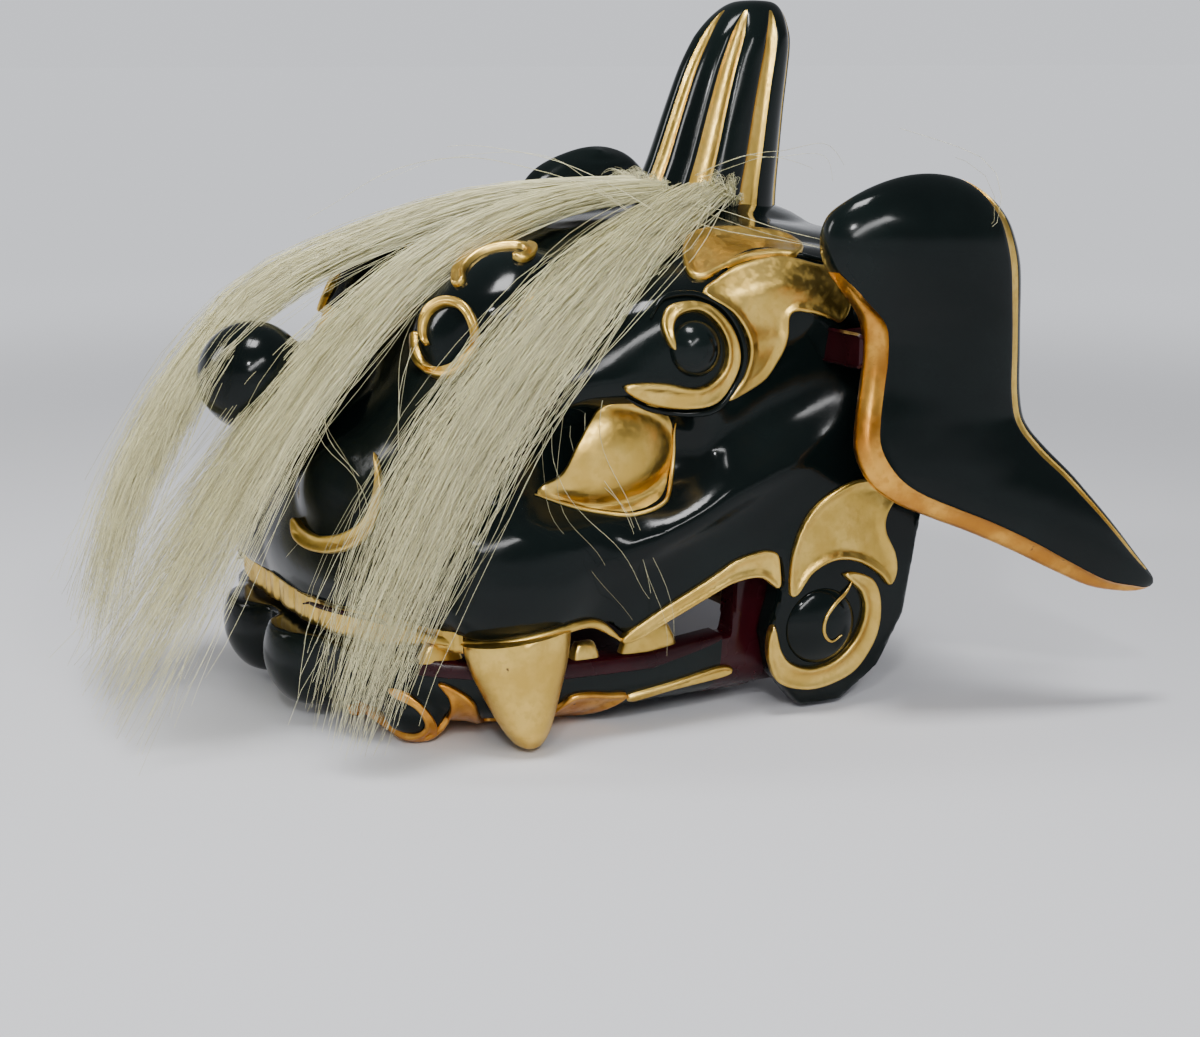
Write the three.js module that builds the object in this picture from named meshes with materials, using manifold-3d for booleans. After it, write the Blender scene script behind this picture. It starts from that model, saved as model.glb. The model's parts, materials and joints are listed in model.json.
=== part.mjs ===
// A carved and lacquered lion dance head: a hollow wooden face with gilded relief, a jaw that swings on a dowel,
// a fluted horn, drooping ears on tenons and a mane of pale horsehair.
// Millimetres, +Z up. +X is the lion's left, -Y its front, and the floor under the jaw is z = 0.
import * as THREE from "three";
import { mergeVertices } from "three/addons/utils/BufferGeometryUtils.js";
import Module from "manifold-3d";

const wasm = await Module();
wasm.setup();

// Driving sizes of the carved head.
const HEAD_WIDTH = 292; // across the cheeks
const HEAD_DEPTH = 300; // lip to rear rim
const CROWN_HEIGHT = 236; // floor to the top of the skull
const WALL = 11; // carved wood, before the raised forms are added
const REAR_RIM_Y = 0.49333 * HEAD_DEPTH; // plane of the open back
const SPINE_Y = -0.1 * HEAD_DEPTH; // front end of the line that the carving is measured from
const SPINE_Z = 0.4195 * CROWN_HEIGHT; // height of that line
const CLEARANCE = 0.3; // between touching pieces
const GILT_RELIEF = 3; // height of gilded relief over the lacquer

// The jaw and its hinge.
const JAW_WIDTH = 0.8973 * HEAD_WIDTH;
const JAW_HEIGHT = 0.4407 * CROWN_HEIGHT; // of the full carved form, trimmed at the lip
const JAW_WALL = 14;
const JAW_FLOOR = 14;
const JAW_SINK = 2; // how much of the form is planed off for its flat underside
const HINGE_Y = 0.31667 * HEAD_DEPTH;
const HINGE_Z = 0.1356 * CROWN_HEIGHT;
const HINGE_BOSS_RADIUS = 16;
const PIN_RADIUS = 5;
const PIN_RUNNING_GAP = 0.5;

// The horn, the ears and the mane.
const HORN_LENGTH = 122; // above the crown
const HORN_DEPTH = 70; // front to back at its foot
const HORN_FLUTES = 6;
const EAR_LENGTH = 226;
const EAR_WIDTH = 84;
const EAR_THICKNESS = 26;
const TENON_LENGTH = 34;
const TENON_HEIGHT = 18;
const TENON_DEPTH = 24;
const LOCK_WIDTH = 50;
const LOCK_THICKNESS = 9;
const MANE_LIFT = 10.5; // from the carving to the middle of a lock
const EAR_Y = 0.34667 * HEAD_DEPTH; // middle of the tenon
const EAR_Z = 0.7627 * CROWN_HEIGHT;
const TENON_OUTER_X = 0.50685 * HEAD_WIDTH; // where the tenon enters the ear
const TENON_IN_EAR = 9;
const HORN_Y = 0.35667 * HEAD_DEPTH; // middle of the horn's foot
const HORN_FLUTE_DEPTH = 0.07; // share of the horn's own radius
const FANG_X = 0.4709 * HEAD_WIDTH; // middle of the fang's root
const FANG_Y = -0.24 * HEAD_DEPTH;
const FANG_TOP = 0.2627 * CROWN_HEIGHT;
const EYE_X = 0.3562 * HEAD_WIDTH;
const EYE_Y = -0.0667 * HEAD_DEPTH;
const EYE_Z = 0.5763 * CROWN_HEIGHT;
const EYE_LENGTH = 0.2467 * HEAD_DEPTH;
const EYE_HEIGHT = 0.2373 * CROWN_HEIGHT;
const EYE_BULGE = 0.0856 * HEAD_WIDTH;
const LIP_RIM_HEIGHT = 4.6;
const BROW_RING_RADIUS = 0.1208 * CROWN_HEIGHT; // black border round the brow curl
const LEAF_GAP = 3; // black border between the two leaves of the brow
const UPPER_LEAF_ROUND = 75; // the way that the second leaf faces, in degrees
const UPPER_LEAF_LIFT = 45;
const TEETH_INSET = 4;
const TEETH_THICKNESS = 8;
const UPPER_TEETH_FOOT = 0.2076 * CROWN_HEIGHT;
const UPPER_TEETH_HEIGHT = 14;
const LOWER_TEETH_HEIGHT = 15;
const GUM_HEIGHT = 3;
const JAW_INNER_X = 0.3973 * HEAD_WIDTH; // between the arms behind the jaw's floor
const PIN_HALF_LENGTH = 0.4795 * HEAD_WIDTH;
const FANG_LENGTH = 0.2542 * CROWN_HEIGHT;
const FANG_WIDTH = 0.1733 * HEAD_DEPTH;

// Facets.
const FACE_STEPS = 30;
const FACE_SECTIONS = 9;
const FACE_FAN = 7;
const SMALLEST_DETAIL = 0.12; // facets that stand out less than this are merged
const SIDES = [["left", 1], ["right", -1]];

const HALF_WIDTH = HEAD_WIDTH / 2;
const GILT_OUTSIDE = CLEARANCE + GILT_RELIEF;

const lacquer = new THREE.MeshStandardMaterial({ color: 0x0b0f0f, roughness: 0.12, metalness: 0 });
const redLacquer = new THREE.MeshStandardMaterial({ color: 0x3d0f12, roughness: 0.3, metalness: 0 });
const goldLeaf = new THREE.MeshStandardMaterial({ color: 0xc79b3c, roughness: 0.34, metalness: 1 });
const horsehair = new THREE.MeshStandardMaterial({ color: 0xcfc6a8, roughness: 0.6, metalness: 0 });
const plainWood = new THREE.MeshStandardMaterial({ color: 0xa98254, roughness: 0.7, metalness: 0 });

// Height of the skull's crown line from front to back: shares of HEAD_DEPTH and CROWN_HEIGHT.
const CROWN_LINE = [
  { y: -0.52, z: 0.56 },
  { y: -0.42, z: 0.7 },
  { y: -0.33, z: 0.755 },
  { y: -0.25, z: 0.84 },
  { y: -0.16, z: 0.92 },
  { y: 0, z: 0.98 },
  { y: 0.17, z: 1 },
  { y: 0.34, z: 1 },
  { y: 0.5, z: 0.97 },
];

// Raised forms that run into the skull. Places and radii are shares of HALF_WIDTH, HEAD_DEPTH and CROWN_HEIGHT;
// tilt leans a form's front down, in degrees; blend is a share of WALL.
const MOUNDS = [
  { form: "muzzle", x: 0.66, y: -0.205, z: 0.4, rx: 0.31, ry: 0.2, rz: 0.13, tilt: 0, blend: 0.6 },
  { form: "lip over the fang", x: 0.78, y: -0.21, z: 0.33, rx: 0.22, ry: 0.15, rz: 0.15, tilt: 0, blend: 0.6 },
  { form: "front lip", x: 0.2, y: -0.385, z: 0.34, rx: 0.5, ry: 0.105, rz: 0.1, tilt: 0, blend: 1.2 },
  { form: "nose bridge", x: 0, y: -0.39, z: 0.64, rx: 0.22, ry: 0.14, rz: 0.12, tilt: 0, blend: 1 },
  { form: "lower fold", x: 0.86, y: 0.09, z: 0.47, rx: 0.13, ry: 0.2, rz: 0.05, tilt: 24, blend: 0.3 },
  { form: "middle fold", x: 0.85, y: 0.13, z: 0.57, rx: 0.12, ry: 0.17, rz: 0.045, tilt: 30, blend: 0.3 },
  { form: "upper fold", x: 0.84, y: 0.15, z: 0.66, rx: 0.1, ry: 0.13, rz: 0.04, tilt: 34, blend: 0.3 },
  { form: "brow", x: 0.74, y: 0.07, z: 0.77, rx: 0.18, ry: 0.15, rz: 0.13, tilt: 10, blend: 0.8 },
  { form: "brow root", x: 0.74, y: 0.25, z: 0.87, rx: 0.17, ry: 0.16, rz: 0.08, tilt: 6, blend: 0.8 },
  { form: "forehead", x: 0.4, y: -0.16, z: 0.84, rx: 0.24, ry: 0.13, rz: 0.1, tilt: 20, blend: 0.6 },
  { form: "horn seat", x: 0, y: 0.36, z: 0.95, rx: 0.3, ry: 0.165, rz: 0.075, tilt: 0, blend: 1.2 },
  { form: "ear seat", x: 0.82, y: 0.315, z: 0.81, rx: 0.11, ry: 0.085, rz: 0.09, tilt: 0, blend: 0.8 },
  { form: "cheek", x: 0.92, y: 0.31, z: 0.215, rx: 0.1, ry: 0.15, rz: 0.2, tilt: 0, blend: 0.8 },
];

// Hollows carved back into the skull, by the same columns.
const HOLLOWS = [
  { form: "eye hollow", x: 1.0, y: -0.09, z: 0.57, rx: 0.24, ry: 0.2, rz: 0.13, tilt: 0, blend: 1 },
  { form: "temple", x: 1.08, y: 0.22, z: 0.67, rx: 0.2, ry: 0.2, rz: 0.12, tilt: 24, blend: 1 },
];

// Turned domes that stand crisp on the face: places as above, radius a share of CROWN_HEIGHT, flat squeezes it along X.
const DOMES = [
  { form: "nose", x: 0, y: -0.5, z: 0.695, radius: 0.114, flat: 1 },
  { form: "nostril", x: 0.363, y: -0.41, z: 0.5, radius: 0.112, flat: 1 },
  { form: "forehead curl", x: 0.47, y: -0.235, z: 0.775, radius: 0.075, flat: 1 },
  { form: "crescent curl", x: 0.41, y: -0.13, z: 0.9, radius: 0.08, flat: 1 },
  { form: "small curl", x: 0.43, y: -0.15, z: 0.79, radius: 0.08, flat: 1 },
  { form: "brow curl", x: 0.865, y: 0.06, z: 0.762, radius: 0.068, flat: 0.8 },
  { form: "cheek curl", x: 0.965, y: 0.307, z: 0.208, radius: 0.085, flat: 0.6 },
];

// The head seen from its side, round the edge of the carved wood: shares of HEAD_DEPTH and CROWN_HEIGHT.
const LIP_LINE = [
  { y: -0.72, z: 0.271 },
  { y: -0.46, z: 0.271 },
  { y: -0.397, z: 0.263 },
  { y: -0.3, z: 0.225 },
  { y: -0.18, z: 0.237 },
  { y: -0.09, z: 0.246 },
  { y: -0.047, z: 0.203 },
  { y: 0.067, z: 0.284 },
  { y: 0.173, z: 0.339 },
  { y: 0.21, z: 0.335 },
];
const CHEEK_EDGE = [
  { y: 0.213, z: 0.29 },
  { y: 0.19, z: 0.178 },
  { y: 0.207, z: 0.085 },
  { y: 0.26, z: 0.0085 },
  { y: 0.333, z: 0.0085 },
  { y: 0.403, z: 0.076 },
  { y: 0.45, z: 0.186 },
  { y: 0.477, z: 0.381 },
  { y: 0.4933, z: 0.55 },
  { y: 0.56, z: 0.56 },
];

// The jaw from its side: its upper edge from chin to step, and the arm behind it.
const JAW_TOP = [
  { y: -0.72, z: 0.195 },
  { y: -0.467, z: 0.195 },
  { y: -0.373, z: 0.182 },
  { y: -0.2, z: 0.157 },
  { y: 0, z: 0.153 },
  { y: 0.127, z: 0.169 },
];
const JAW_ARM = [
  { y: 0.147, z: 0.17 },
  { y: 0.158, z: 0.3 },
  { y: 0.2, z: 0.34 },
  { y: 0.267, z: 0.34 },
  { y: 0.333, z: 0.254 },
  { y: 0.36, z: 0.17 },
];
const CHIN_UNDERSIDE = [
  { y: -0.29, z: 0 },
  { y: -0.4, z: 0.025 },
  { y: -0.72, z: 0.06 },
];
const JAW_DOMES = [
  { form: "chin lobe", x: 0.23, y: -0.45, z: 0.135, radius: 0.1, flat: 1.15 },
  { form: "corner curl", x: 0.72, y: -0.345, z: 0.085, radius: 0.078, flat: 1 },
];

// Gilded outlines on the side of the face, closed: shares of HEAD_DEPTH and CROWN_HEIGHT.
const BROW_LEAF = [
  { y: 0.1, z: 0.86 }, { y: 0.177, z: 0.924 }, { y: 0.243, z: 0.936 }, { y: 0.303, z: 0.92 },
  { y: 0.347, z: 0.89 }, { y: 0.347, z: 0.835 }, { y: 0.3, z: 0.812 }, { y: 0.24, z: 0.83 },
  { y: 0.233, z: 0.76 }, { y: 0.19, z: 0.695 }, { y: 0.123, z: 0.668 }, { y: 0.145, z: 0.73 },
  { y: 0.143, z: 0.79 },
];
const CHEEK_FLAME = [
  { y: 0.217, z: 0.237 }, { y: 0.23, z: 0.32 }, { y: 0.257, z: 0.4 }, { y: 0.317, z: 0.453 },
  { y: 0.377, z: 0.48 }, { y: 0.44, z: 0.458 }, { y: 0.403, z: 0.41 }, { y: 0.417, z: 0.364 },
  { y: 0.42, z: 0.31 }, { y: 0.4, z: 0.265 }, { y: 0.367, z: 0.31 }, { y: 0.31, z: 0.322 },
  { y: 0.262, z: 0.3 },
];
const JAW_FLAME = [
  { y: -0.347, z: 0.02 }, { y: -0.36, z: 0.075 }, { y: -0.34, z: 0.13 }, { y: -0.29, z: 0.105 },
  { y: -0.14, z: 0.085 }, { y: -0.09, z: 0.09 }, { y: -0.04, z: 0.072 }, { y: -0.07, z: 0.02 },
  { y: -0.17, z: 0.012 },
];
const JAW_LINE = [
  { y: -0.02, z: 0.062 }, { y: 0.13, z: 0.093 }, { y: 0.14, z: 0.078 }, { y: -0.015, z: 0.046 },
];

// The second leaf of the brow, laid over the edge of the crown: across and up from its own middle, shares of CROWN_HEIGHT.
const UPPER_LEAF = [
  { a: -0.17, b: -0.075 }, { a: -0.205, b: 0.0 }, { a: -0.14, b: 0.045 }, { a: -0.02, b: 0.05 },
  { a: 0.09, b: 0.055 }, { a: 0.15, b: 0.02 }, { a: 0.15, b: -0.03 }, { a: 0.0, b: -0.035 },
];

// Gilded curls: a band that winds about a middle. Places as for the domes; start and sweep in degrees, seen from outside
// on the lion's left; the radii are spaced evenly along the sweep and, like the band, are shares of CROWN_HEIGHT.
const CURLS = [
  {
    name: "brow_curl", y: 0.06, z: 0.765, start: 208, sweep: 352, band: 0.045,
    radii: [0.15, 0.1, 0.088, 0.085, 0.075, 0.045],
  },
  {
    name: "cheek_curl", y: 0.307, z: 0.208, start: 176, sweep: 320, band: 0.038,
    radii: [0.143, 0.148, 0.128, 0.106, 0.092, 0.078, 0.06],
  },
];

// Gilded curls on the forehead and the nose, by the same columns, with a place in three directions and the way that
// each one faces: round from the front towards the side, and up, in degrees.
const FRONT_CURLS = [
  {
    name: "forehead_curl", x: 0.47, y: -0.235, z: 0.775, round: 48, lift: 30, start: 150, sweep: 330, band: 0.035,
    radii: [0.085, 0.088, 0.09, 0.086, 0.082],
  },
  {
    name: "forehead_crescent", x: 0.41, y: -0.13, z: 0.9, round: 60, lift: 50, start: 30, sweep: 190, band: 0.035,
    radii: [0.1, 0.096, 0.09, 0.084],
  },
  {
    name: "nostril_rim", x: 0.363, y: -0.41, z: 0.5, round: 40, lift: 5, start: 215, sweep: 180, band: 0.035,
    radii: [0.1, 0.105, 0.1, 0.1],
  },
];

// Ears: the middle line from the dome to the tip. Places are shares of EAR_LENGTH from the tenon's end; half width and
// half thickness are shares of EAR_WIDTH and EAR_THICKNESS; turn is how far the section has swung back, in degrees.
const EAR_SECTIONS = [
  { x: 0.044, y: 0.03, z: 0.349, width: 0.13, thick: 0.3, turn: 0 },
  { x: 0.05, y: 0.035, z: 0.314, width: 0.37, thick: 0.58, turn: 0 },
  { x: 0.055, y: 0.04, z: 0.249, width: 0.48, thick: 0.72, turn: 0 },
  { x: 0.062, y: 0.05, z: 0.169, width: 0.51, thick: 0.74, turn: 4 },
  { x: 0.072, y: 0.07, z: 0.079, width: 0.5, thick: 0.66, turn: 8 },
  { x: 0.086, y: 0.1, z: -0.011, width: 0.48, thick: 0.56, turn: 12 },
  { x: 0.102, y: 0.135, z: -0.111, width: 0.475, thick: 0.5, turn: 18 },
  { x: 0.13, y: 0.182, z: -0.216, width: 0.46, thick: 0.46, turn: 32 },
  { x: 0.165, y: 0.27, z: -0.311, width: 0.35, thick: 0.42, turn: 50 },
  { x: 0.205, y: 0.38, z: -0.376, width: 0.235, thick: 0.38, turn: 58 },
  { x: 0.245, y: 0.485, z: -0.446, width: 0.15, thick: 0.32, turn: 57 },
  { x: 0.28, y: 0.585, z: -0.516, width: 0.04, thick: 0.14, turn: 55 },
];

// The horn from its foot to its tip: height a share of HORN_LENGTH over the crown, the rest shares of HORN_DEPTH.
const HORN_SECTIONS = [
  { z: -0.14, y: 0, depth: 0.5, width: 0.42 },
  { z: 0.06, y: 0.02, depth: 0.48, width: 0.39 },
  { z: 0.25, y: 0.08, depth: 0.43, width: 0.35 },
  { z: 0.44, y: 0.14, depth: 0.39, width: 0.32 },
  { z: 0.6, y: 0.19, depth: 0.36, width: 0.3 },
  { z: 0.74, y: 0.24, depth: 0.33, width: 0.28 },
  { z: 0.84, y: 0.28, depth: 0.28, width: 0.24 },
  { z: 0.9, y: 0.31, depth: 0.2, width: 0.17 },
  { z: 0.93, y: 0.33, depth: 0.1, width: 0.085 },
];

// The fang from its root to its tip: shares of FANG_LENGTH downwards, FANG_WIDTH for the half width and half thickness.
const FANG_SECTIONS = [
  { down: 0, back: 0, width: 0.5, thick: 0.13 },
  { down: 0.3, back: 0.01, width: 0.46, thick: 0.135 },
  { down: 0.58, back: 0.05, width: 0.34, thick: 0.13 },
  { down: 0.82, back: 0.09, width: 0.22, thick: 0.11 },
  { down: 0.95, back: 0.11, width: 0.12, thick: 0.075 },
  { down: 1, back: 0.115, width: 0.05, thick: 0.04 },
];

// The mane: the middle of each bundle from the root to the tips. Places are shares of HALF_WIDTH, HEAD_DEPTH and
// CROWN_HEIGHT; width is a share of LOCK_WIDTH.
const MANE_BUNDLES = [
  [
    { x: 0.1, y: 0.27, z: 1.03, width: 0.5 },
    { x: 0.42, y: 0.12, z: 0.99, width: 0.8 },
    { x: 0.66, y: 0.02, z: 0.87, width: 1 },
    { x: 0.78, y: -0.12, z: 0.68, width: 1.2 },
    { x: 0.85, y: -0.25, z: 0.54, width: 1.2 },
    { x: 0.88, y: -0.36, z: 0.41, width: 1.1 },
    { x: 0.87, y: -0.43, z: 0.26, width: 0.95 },
    { x: 0.84, y: -0.48, z: 0.06, width: 0.5 },
  ],
  [
    { x: 0.06, y: 0.21, z: 1.03, width: 0.5 },
    { x: 0.17, y: -0.02, z: 0.98, width: 0.8 },
    { x: 0.23, y: -0.24, z: 0.86, width: 1 },
    { x: 0.26, y: -0.42, z: 0.72, width: 1.15 },
    { x: 0.24, y: -0.55, z: 0.53, width: 1.2 },
    { x: 0.2, y: -0.68, z: 0.28, width: 1.1 },
    { x: 0.16, y: -0.78, z: 0.05, width: 0.5 },
  ],
  [
    { x: -0.08, y: 0.21, z: 1.03, width: 0.5 },
    { x: -0.26, y: -0.12, z: 0.99, width: 0.8 },
    { x: -0.31, y: -0.35, z: 0.88, width: 1 },
    { x: -0.32, y: -0.47, z: 0.78, width: 1.1 },
    { x: -0.35, y: -0.65, z: 0.5, width: 1.1 },
    { x: -0.37, y: -0.72, z: 0.26, width: 1 },
    { x: -0.38, y: -0.75, z: 0.06, width: 0.5 },
  ],
];
const LOCKS_IN_BUNDLE = 2;
const LOCK_SPREAD = 0.23; // from the middle of a bundle to the middle of its outer lock

// Teeth: where each stands, as shares of HEAD_DEPTH along the lip (lower) or of HALF_WIDTH across it (upper).
const UPPER_GAPS = [-0.4, -0.24, -0.08, 0.08, 0.24, 0.4];
const LOWER_TEETH = [
  { y: -0.33, half: 0.035, high: 0.5 },
  { y: -0.235, half: 0.035, high: 0.55 },
  { y: -0.125, half: 0.03, high: 0.8 },
  { y: -0.01, half: 0.05, high: 1 },
];

/** A solid from vertices and triangles, its shared corners merged. */
function solidOf(geometry) {
  const bare = geometry.clone();
  bare.deleteAttribute("normal");
  bare.deleteAttribute("uv");
  const merged = mergeVertices(bare, 1e-4);
  return new wasm.Manifold(
    new wasm.Mesh({
      numProp: 3,
      vertProperties: new Float32Array(merged.attributes.position.array),
      triVerts: new Uint32Array(merged.index.array),
    }),
  );
}

/** A solid back as a geometry. */
function geometryOf(solid) {
  const mesh = solid.getMesh();
  const geometry = new THREE.BufferGeometry();
  geometry.setAttribute("position", new THREE.BufferAttribute(mesh.vertProperties, 3));
  geometry.setIndex(new THREE.BufferAttribute(mesh.triVerts, 1));
  geometry.computeVertexNormals();
  return geometry;
}

/** A closed skin over rings of points, from first ring to last, each end closed by a fan. */
function loft(rings) {
  const corners = [];
  const faces = [];
  const sides = rings[0].length;
  const middle = (ring) => ring.reduce((sum, p) => sum.add(p), new THREE.Vector3()).divideScalar(sides);
  for (const ring of rings) for (const p of ring) corners.push(p.x, p.y, p.z);
  for (let i = 0; i + 1 < rings.length; i++) {
    for (let j = 0; j < sides; j++) {
      const a = i * sides + j;
      const b = i * sides + ((j + 1) % sides);
      faces.push(a, b, a + sides, b, b + sides, a + sides);
    }
  }
  const last = (rings.length - 1) * sides;
  const first = corners.length / 3;
  for (const p of [middle(rings[0]), middle(rings[rings.length - 1])]) corners.push(p.x, p.y, p.z);
  for (let j = 0; j < sides; j++) {
    const next = (j + 1) % sides;
    faces.push(first, next, j, first + 1, last + j, last + next);
  }
  const geometry = new THREE.BufferGeometry();
  geometry.setAttribute("position", new THREE.Float32BufferAttribute(corners, 3));
  geometry.setIndex(faces);
  const solid = solidOf(geometry);
  if (solid.volume() > 0) return solid;
  for (let i = 0; i < faces.length; i += 3) [faces[i], faces[i + 1]] = [faces[i + 1], faces[i]];
  geometry.setIndex(faces);
  return solidOf(geometry);
}

/** An ellipse of points about a centre, in the plane of two unit directions. */
function ellipse(centre, across, along, halfAcross, halfAlong, sides) {
  return Array.from({ length: sides }, (_, j) => {
    const turn = (2 * Math.PI * j) / sides;
    return centre
      .clone()
      .addScaledVector(across, halfAcross * Math.cos(turn))
      .addScaledVector(along, halfAlong * Math.sin(turn));
  });
}

/** A prism of a flat outline: the outline's own two directions and the way it is pushed are given as unit vectors. */
function prism(outline, origin, right, up, depth) {
  const shape = new THREE.Shape(outline.map(([a, b]) => new THREE.Vector2(a, b)));
  const geometry = new THREE.ExtrudeGeometry(shape, { depth, bevelEnabled: false, curveSegments: 12 });
  const push = new THREE.Vector3().crossVectors(right, up);
  geometry.applyMatrix4(new THREE.Matrix4().makeBasis(right, up, push).setPosition(origin));
  return solidOf(geometry);
}

/** A prism of a side outline, given in Y and Z, from one X to another. */
function sidePrism(outline, fromX, toX) {
  return prism(outline, new THREE.Vector3(fromX, 0, 0), AXIS.y, AXIS.z, toX - fromX);
}

const AXIS = {
  x: new THREE.Vector3(1, 0, 0),
  y: new THREE.Vector3(0, 1, 0),
  z: new THREE.Vector3(0, 0, 1),
};
const inHead = (rows) => rows.map((row) => [row.y * HEAD_DEPTH, row.z * CROWN_HEIGHT]);
const raised = (points, by) => points.map(([y, z]) => [y, z + by]);

/** Linear interpolation of a table's height at a place along it. */
function heightAt(rows, y) {
  const share = y / HEAD_DEPTH;
  let i = 1;
  while (i < rows.length - 1 && rows[i].y < share) i++;
  const t = THREE.MathUtils.clamp((share - rows[i - 1].y) / (rows[i].y - rows[i - 1].y), 0, 1);
  return CROWN_HEIGHT * THREE.MathUtils.lerp(rows[i - 1].z, rows[i].z, t);
}

/** Distance-like value of the plain skull: under zero inside. */
function skullValue(x, y, z) {
  const width = HALF_WIDTH * (0.96 + 0.12 * Math.max(0, y / HEAD_DEPTH));
  const above = z > SPINE_Z;
  const height = above ? heightAt(CROWN_LINE, y) - SPINE_Z : CROWN_HEIGHT;
  const front = Math.max(0, SPINE_Y + 0.22 * HEAD_DEPTH - y) / (0.6 * HEAD_DEPTH);
  const power = 3 + 0.6 * THREE.MathUtils.clamp(y / HEAD_DEPTH + 0.3, 0, 0.8);
  const sum = Math.abs(x / width) ** power + Math.abs((z - SPINE_Z) / height) ** power + front ** power;
  return (sum ** (1 / power) - 1) * HALF_WIDTH * 0.9;
}

/** Distance-like value of one tilted ellipsoid from the table of raised forms. */
function moundValue(row, x, y, z) {
  const lean = THREE.MathUtils.degToRad(row.tilt);
  const dy = y - row.y * HEAD_DEPTH;
  const dz = z - row.z * CROWN_HEIGHT;
  const rx = row.rx * HALF_WIDTH;
  const ry = row.ry * HEAD_DEPTH;
  const rz = row.rz * CROWN_HEIGHT;
  const px = Math.abs(x) - row.x * HALF_WIDTH;
  const py = dy * Math.cos(lean) + dz * Math.sin(lean);
  const pz = dz * Math.cos(lean) - dy * Math.sin(lean);
  const near = Math.hypot(px / rx, py / ry, pz / rz);
  const slope = Math.hypot(px / rx ** 2, py / ry ** 2, pz / rz ** 2);
  return slope < 1e-9 ? -rx : (near * (near - 1)) / slope;
}

/** The whole carved face as one value, its forms blended softly. */
function faceValue(x, y, z) {
  let value = skullValue(x, y, z);
  for (const row of MOUNDS) {
    const other = moundValue(row, x, y, z);
    const soft = row.blend * WALL;
    const mix = Math.max(soft - Math.abs(value - other), 0) / soft;
    value = Math.min(value, other) - mix * mix * soft * 0.25;
  }
  return hollowed(value, x, y, z);
}

/** A value with the hollows carved out of it, their edges softened. */
function hollowed(from, x, y, z) {
  let value = from;
  for (const row of HOLLOWS) {
    const other = -moundValue(row, x, y, z);
    const soft = row.blend * WALL;
    const mix = Math.max(soft - Math.abs(value - other), 0) / soft;
    value = Math.max(value, other) + mix * mix * soft * 0.25;
  }
  return value;
}

/** The inside of the head follows the skull and its hollows, without the raised forms. */
function insideValue(x, y, z) {
  return hollowed(skullValue(x, y, z), x, y, z);
}

/** The jaw's rounded trough, centred on its own upper plane. */
function jawValue(x, y, z) {
  const centre = JAW_HEIGHT / 2 - JAW_SINK;
  const front = Math.max(0, SPINE_Y + 0.22 * HEAD_DEPTH - y) / (0.6 * HEAD_DEPTH);
  const sum = Math.abs(x / (JAW_WIDTH / 2)) ** 4 + Math.abs((z - centre) / (JAW_HEIGHT / 2)) ** 4 + front ** 3.4;
  return (sum ** 0.25 - 1) * (JAW_WIDTH / 2);
}

/** How far a ray from inside runs before it leaves the carved form for the last time. */
function reach(value, origin, direction) {
  const p = new THREE.Vector3();
  const at = (r) => {
    p.copy(direction).multiplyScalar(r).add(origin);
    return value(p.x, p.y, p.z);
  };
  let outside = HEAD_DEPTH;
  const step = 4;
  while (outside > step && at(outside - step) > 0) outside -= step;
  let inside = outside - step;
  for (let i = 0; i < 12; i++) {
    const half = (inside + outside) / 2;
    if (at(half) > 0) outside = half;
    else inside = half;
  }
  return inside;
}

/** Rays from a line that runs back from the face, and fan round its front end. */
function carvingRays(spineZ, steps, sections, fan) {
  const rays = [];
  for (let i = 0; i < sections + fan; i++) {
    const turn = i < sections ? 0 : ((i - sections + 1) / (fan + 0.5)) * (Math.PI / 2);
    const y = i < sections ? THREE.MathUtils.lerp(REAR_RIM_Y, SPINE_Y, i / (sections - 1)) : SPINE_Y;
    rays.push(
      Array.from({ length: steps }, (_, j) => {
        const round = (2 * Math.PI * (j + 0.5)) / steps;
        const out = Math.cos(turn);
        const direction = new THREE.Vector3(Math.sin(round) * out, -Math.sin(turn), -Math.cos(round) * out);
        return { origin: new THREE.Vector3(0, y, spineZ), direction };
      }),
    );
  }
  return rays;
}

/** The reach of every ray, measured once. */
function measured(value, rays) {
  return rays.map((row) => row.map(({ origin, direction }) => reach(value, origin, direction)));
}

/** The carved form with its surface moved outwards by grow, which may be negative. */
function carvedSolid(rays, reaches, grow) {
  return loft(
    rays.map((row, i) =>
      row.map(({ origin, direction }, j) => direction.clone().multiplyScalar(reaches[i][j] + grow).add(origin)),
    ),
  );
}

/** A table's domes as spheres, grown like the carving that they stand on. */
function domes(rows, grow) {
  return rows.flatMap((row) => {
    const sides = row.x ? [1, -1] : [1];
    return sides.map((side) => {
      const radius = row.radius * CROWN_HEIGHT + grow;
      const ball = new THREE.SphereGeometry(radius, 11, 7);
      ball.scale(row.flat, 1, 1);
      ball.translate(side * row.x * HALF_WIDTH, row.y * HEAD_DEPTH, row.z * CROWN_HEIGHT);
      return solidOf(ball);
    });
  });
}

/** The larger body of a cut that may leave crumbs. */
function largest(solid) {
  return solid.decompose().sort((a, b) => b.volume() - a.volume())[0];
}

/** The carved head with its domes, moved outwards by grow. */
function grownFace(grow) {
  return domes(DOMES, grow).reduce((whole, dome) => whole.add(dome), carvedSolid(faceRays, faceReaches, grow));
}

/** The carved jaw with its domes, moved outwards by grow. */
function grownJaw(grow) {
  return domes(JAW_DOMES, grow).reduce((whole, dome) => whole.add(dome), carvedSolid(jawRays, jawReaches, grow));
}

/** A closed outline drawn smoothly through a few corners. */
function smooth(corners, steps) {
  const curve = new THREE.CatmullRomCurve3(
    corners.map(([a, b]) => new THREE.Vector3(a, b, 0)),
    true,
    "centripetal",
  );
  return curve.getPoints(steps).slice(0, -1).map((p) => [p.x, p.y]);
}

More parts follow.
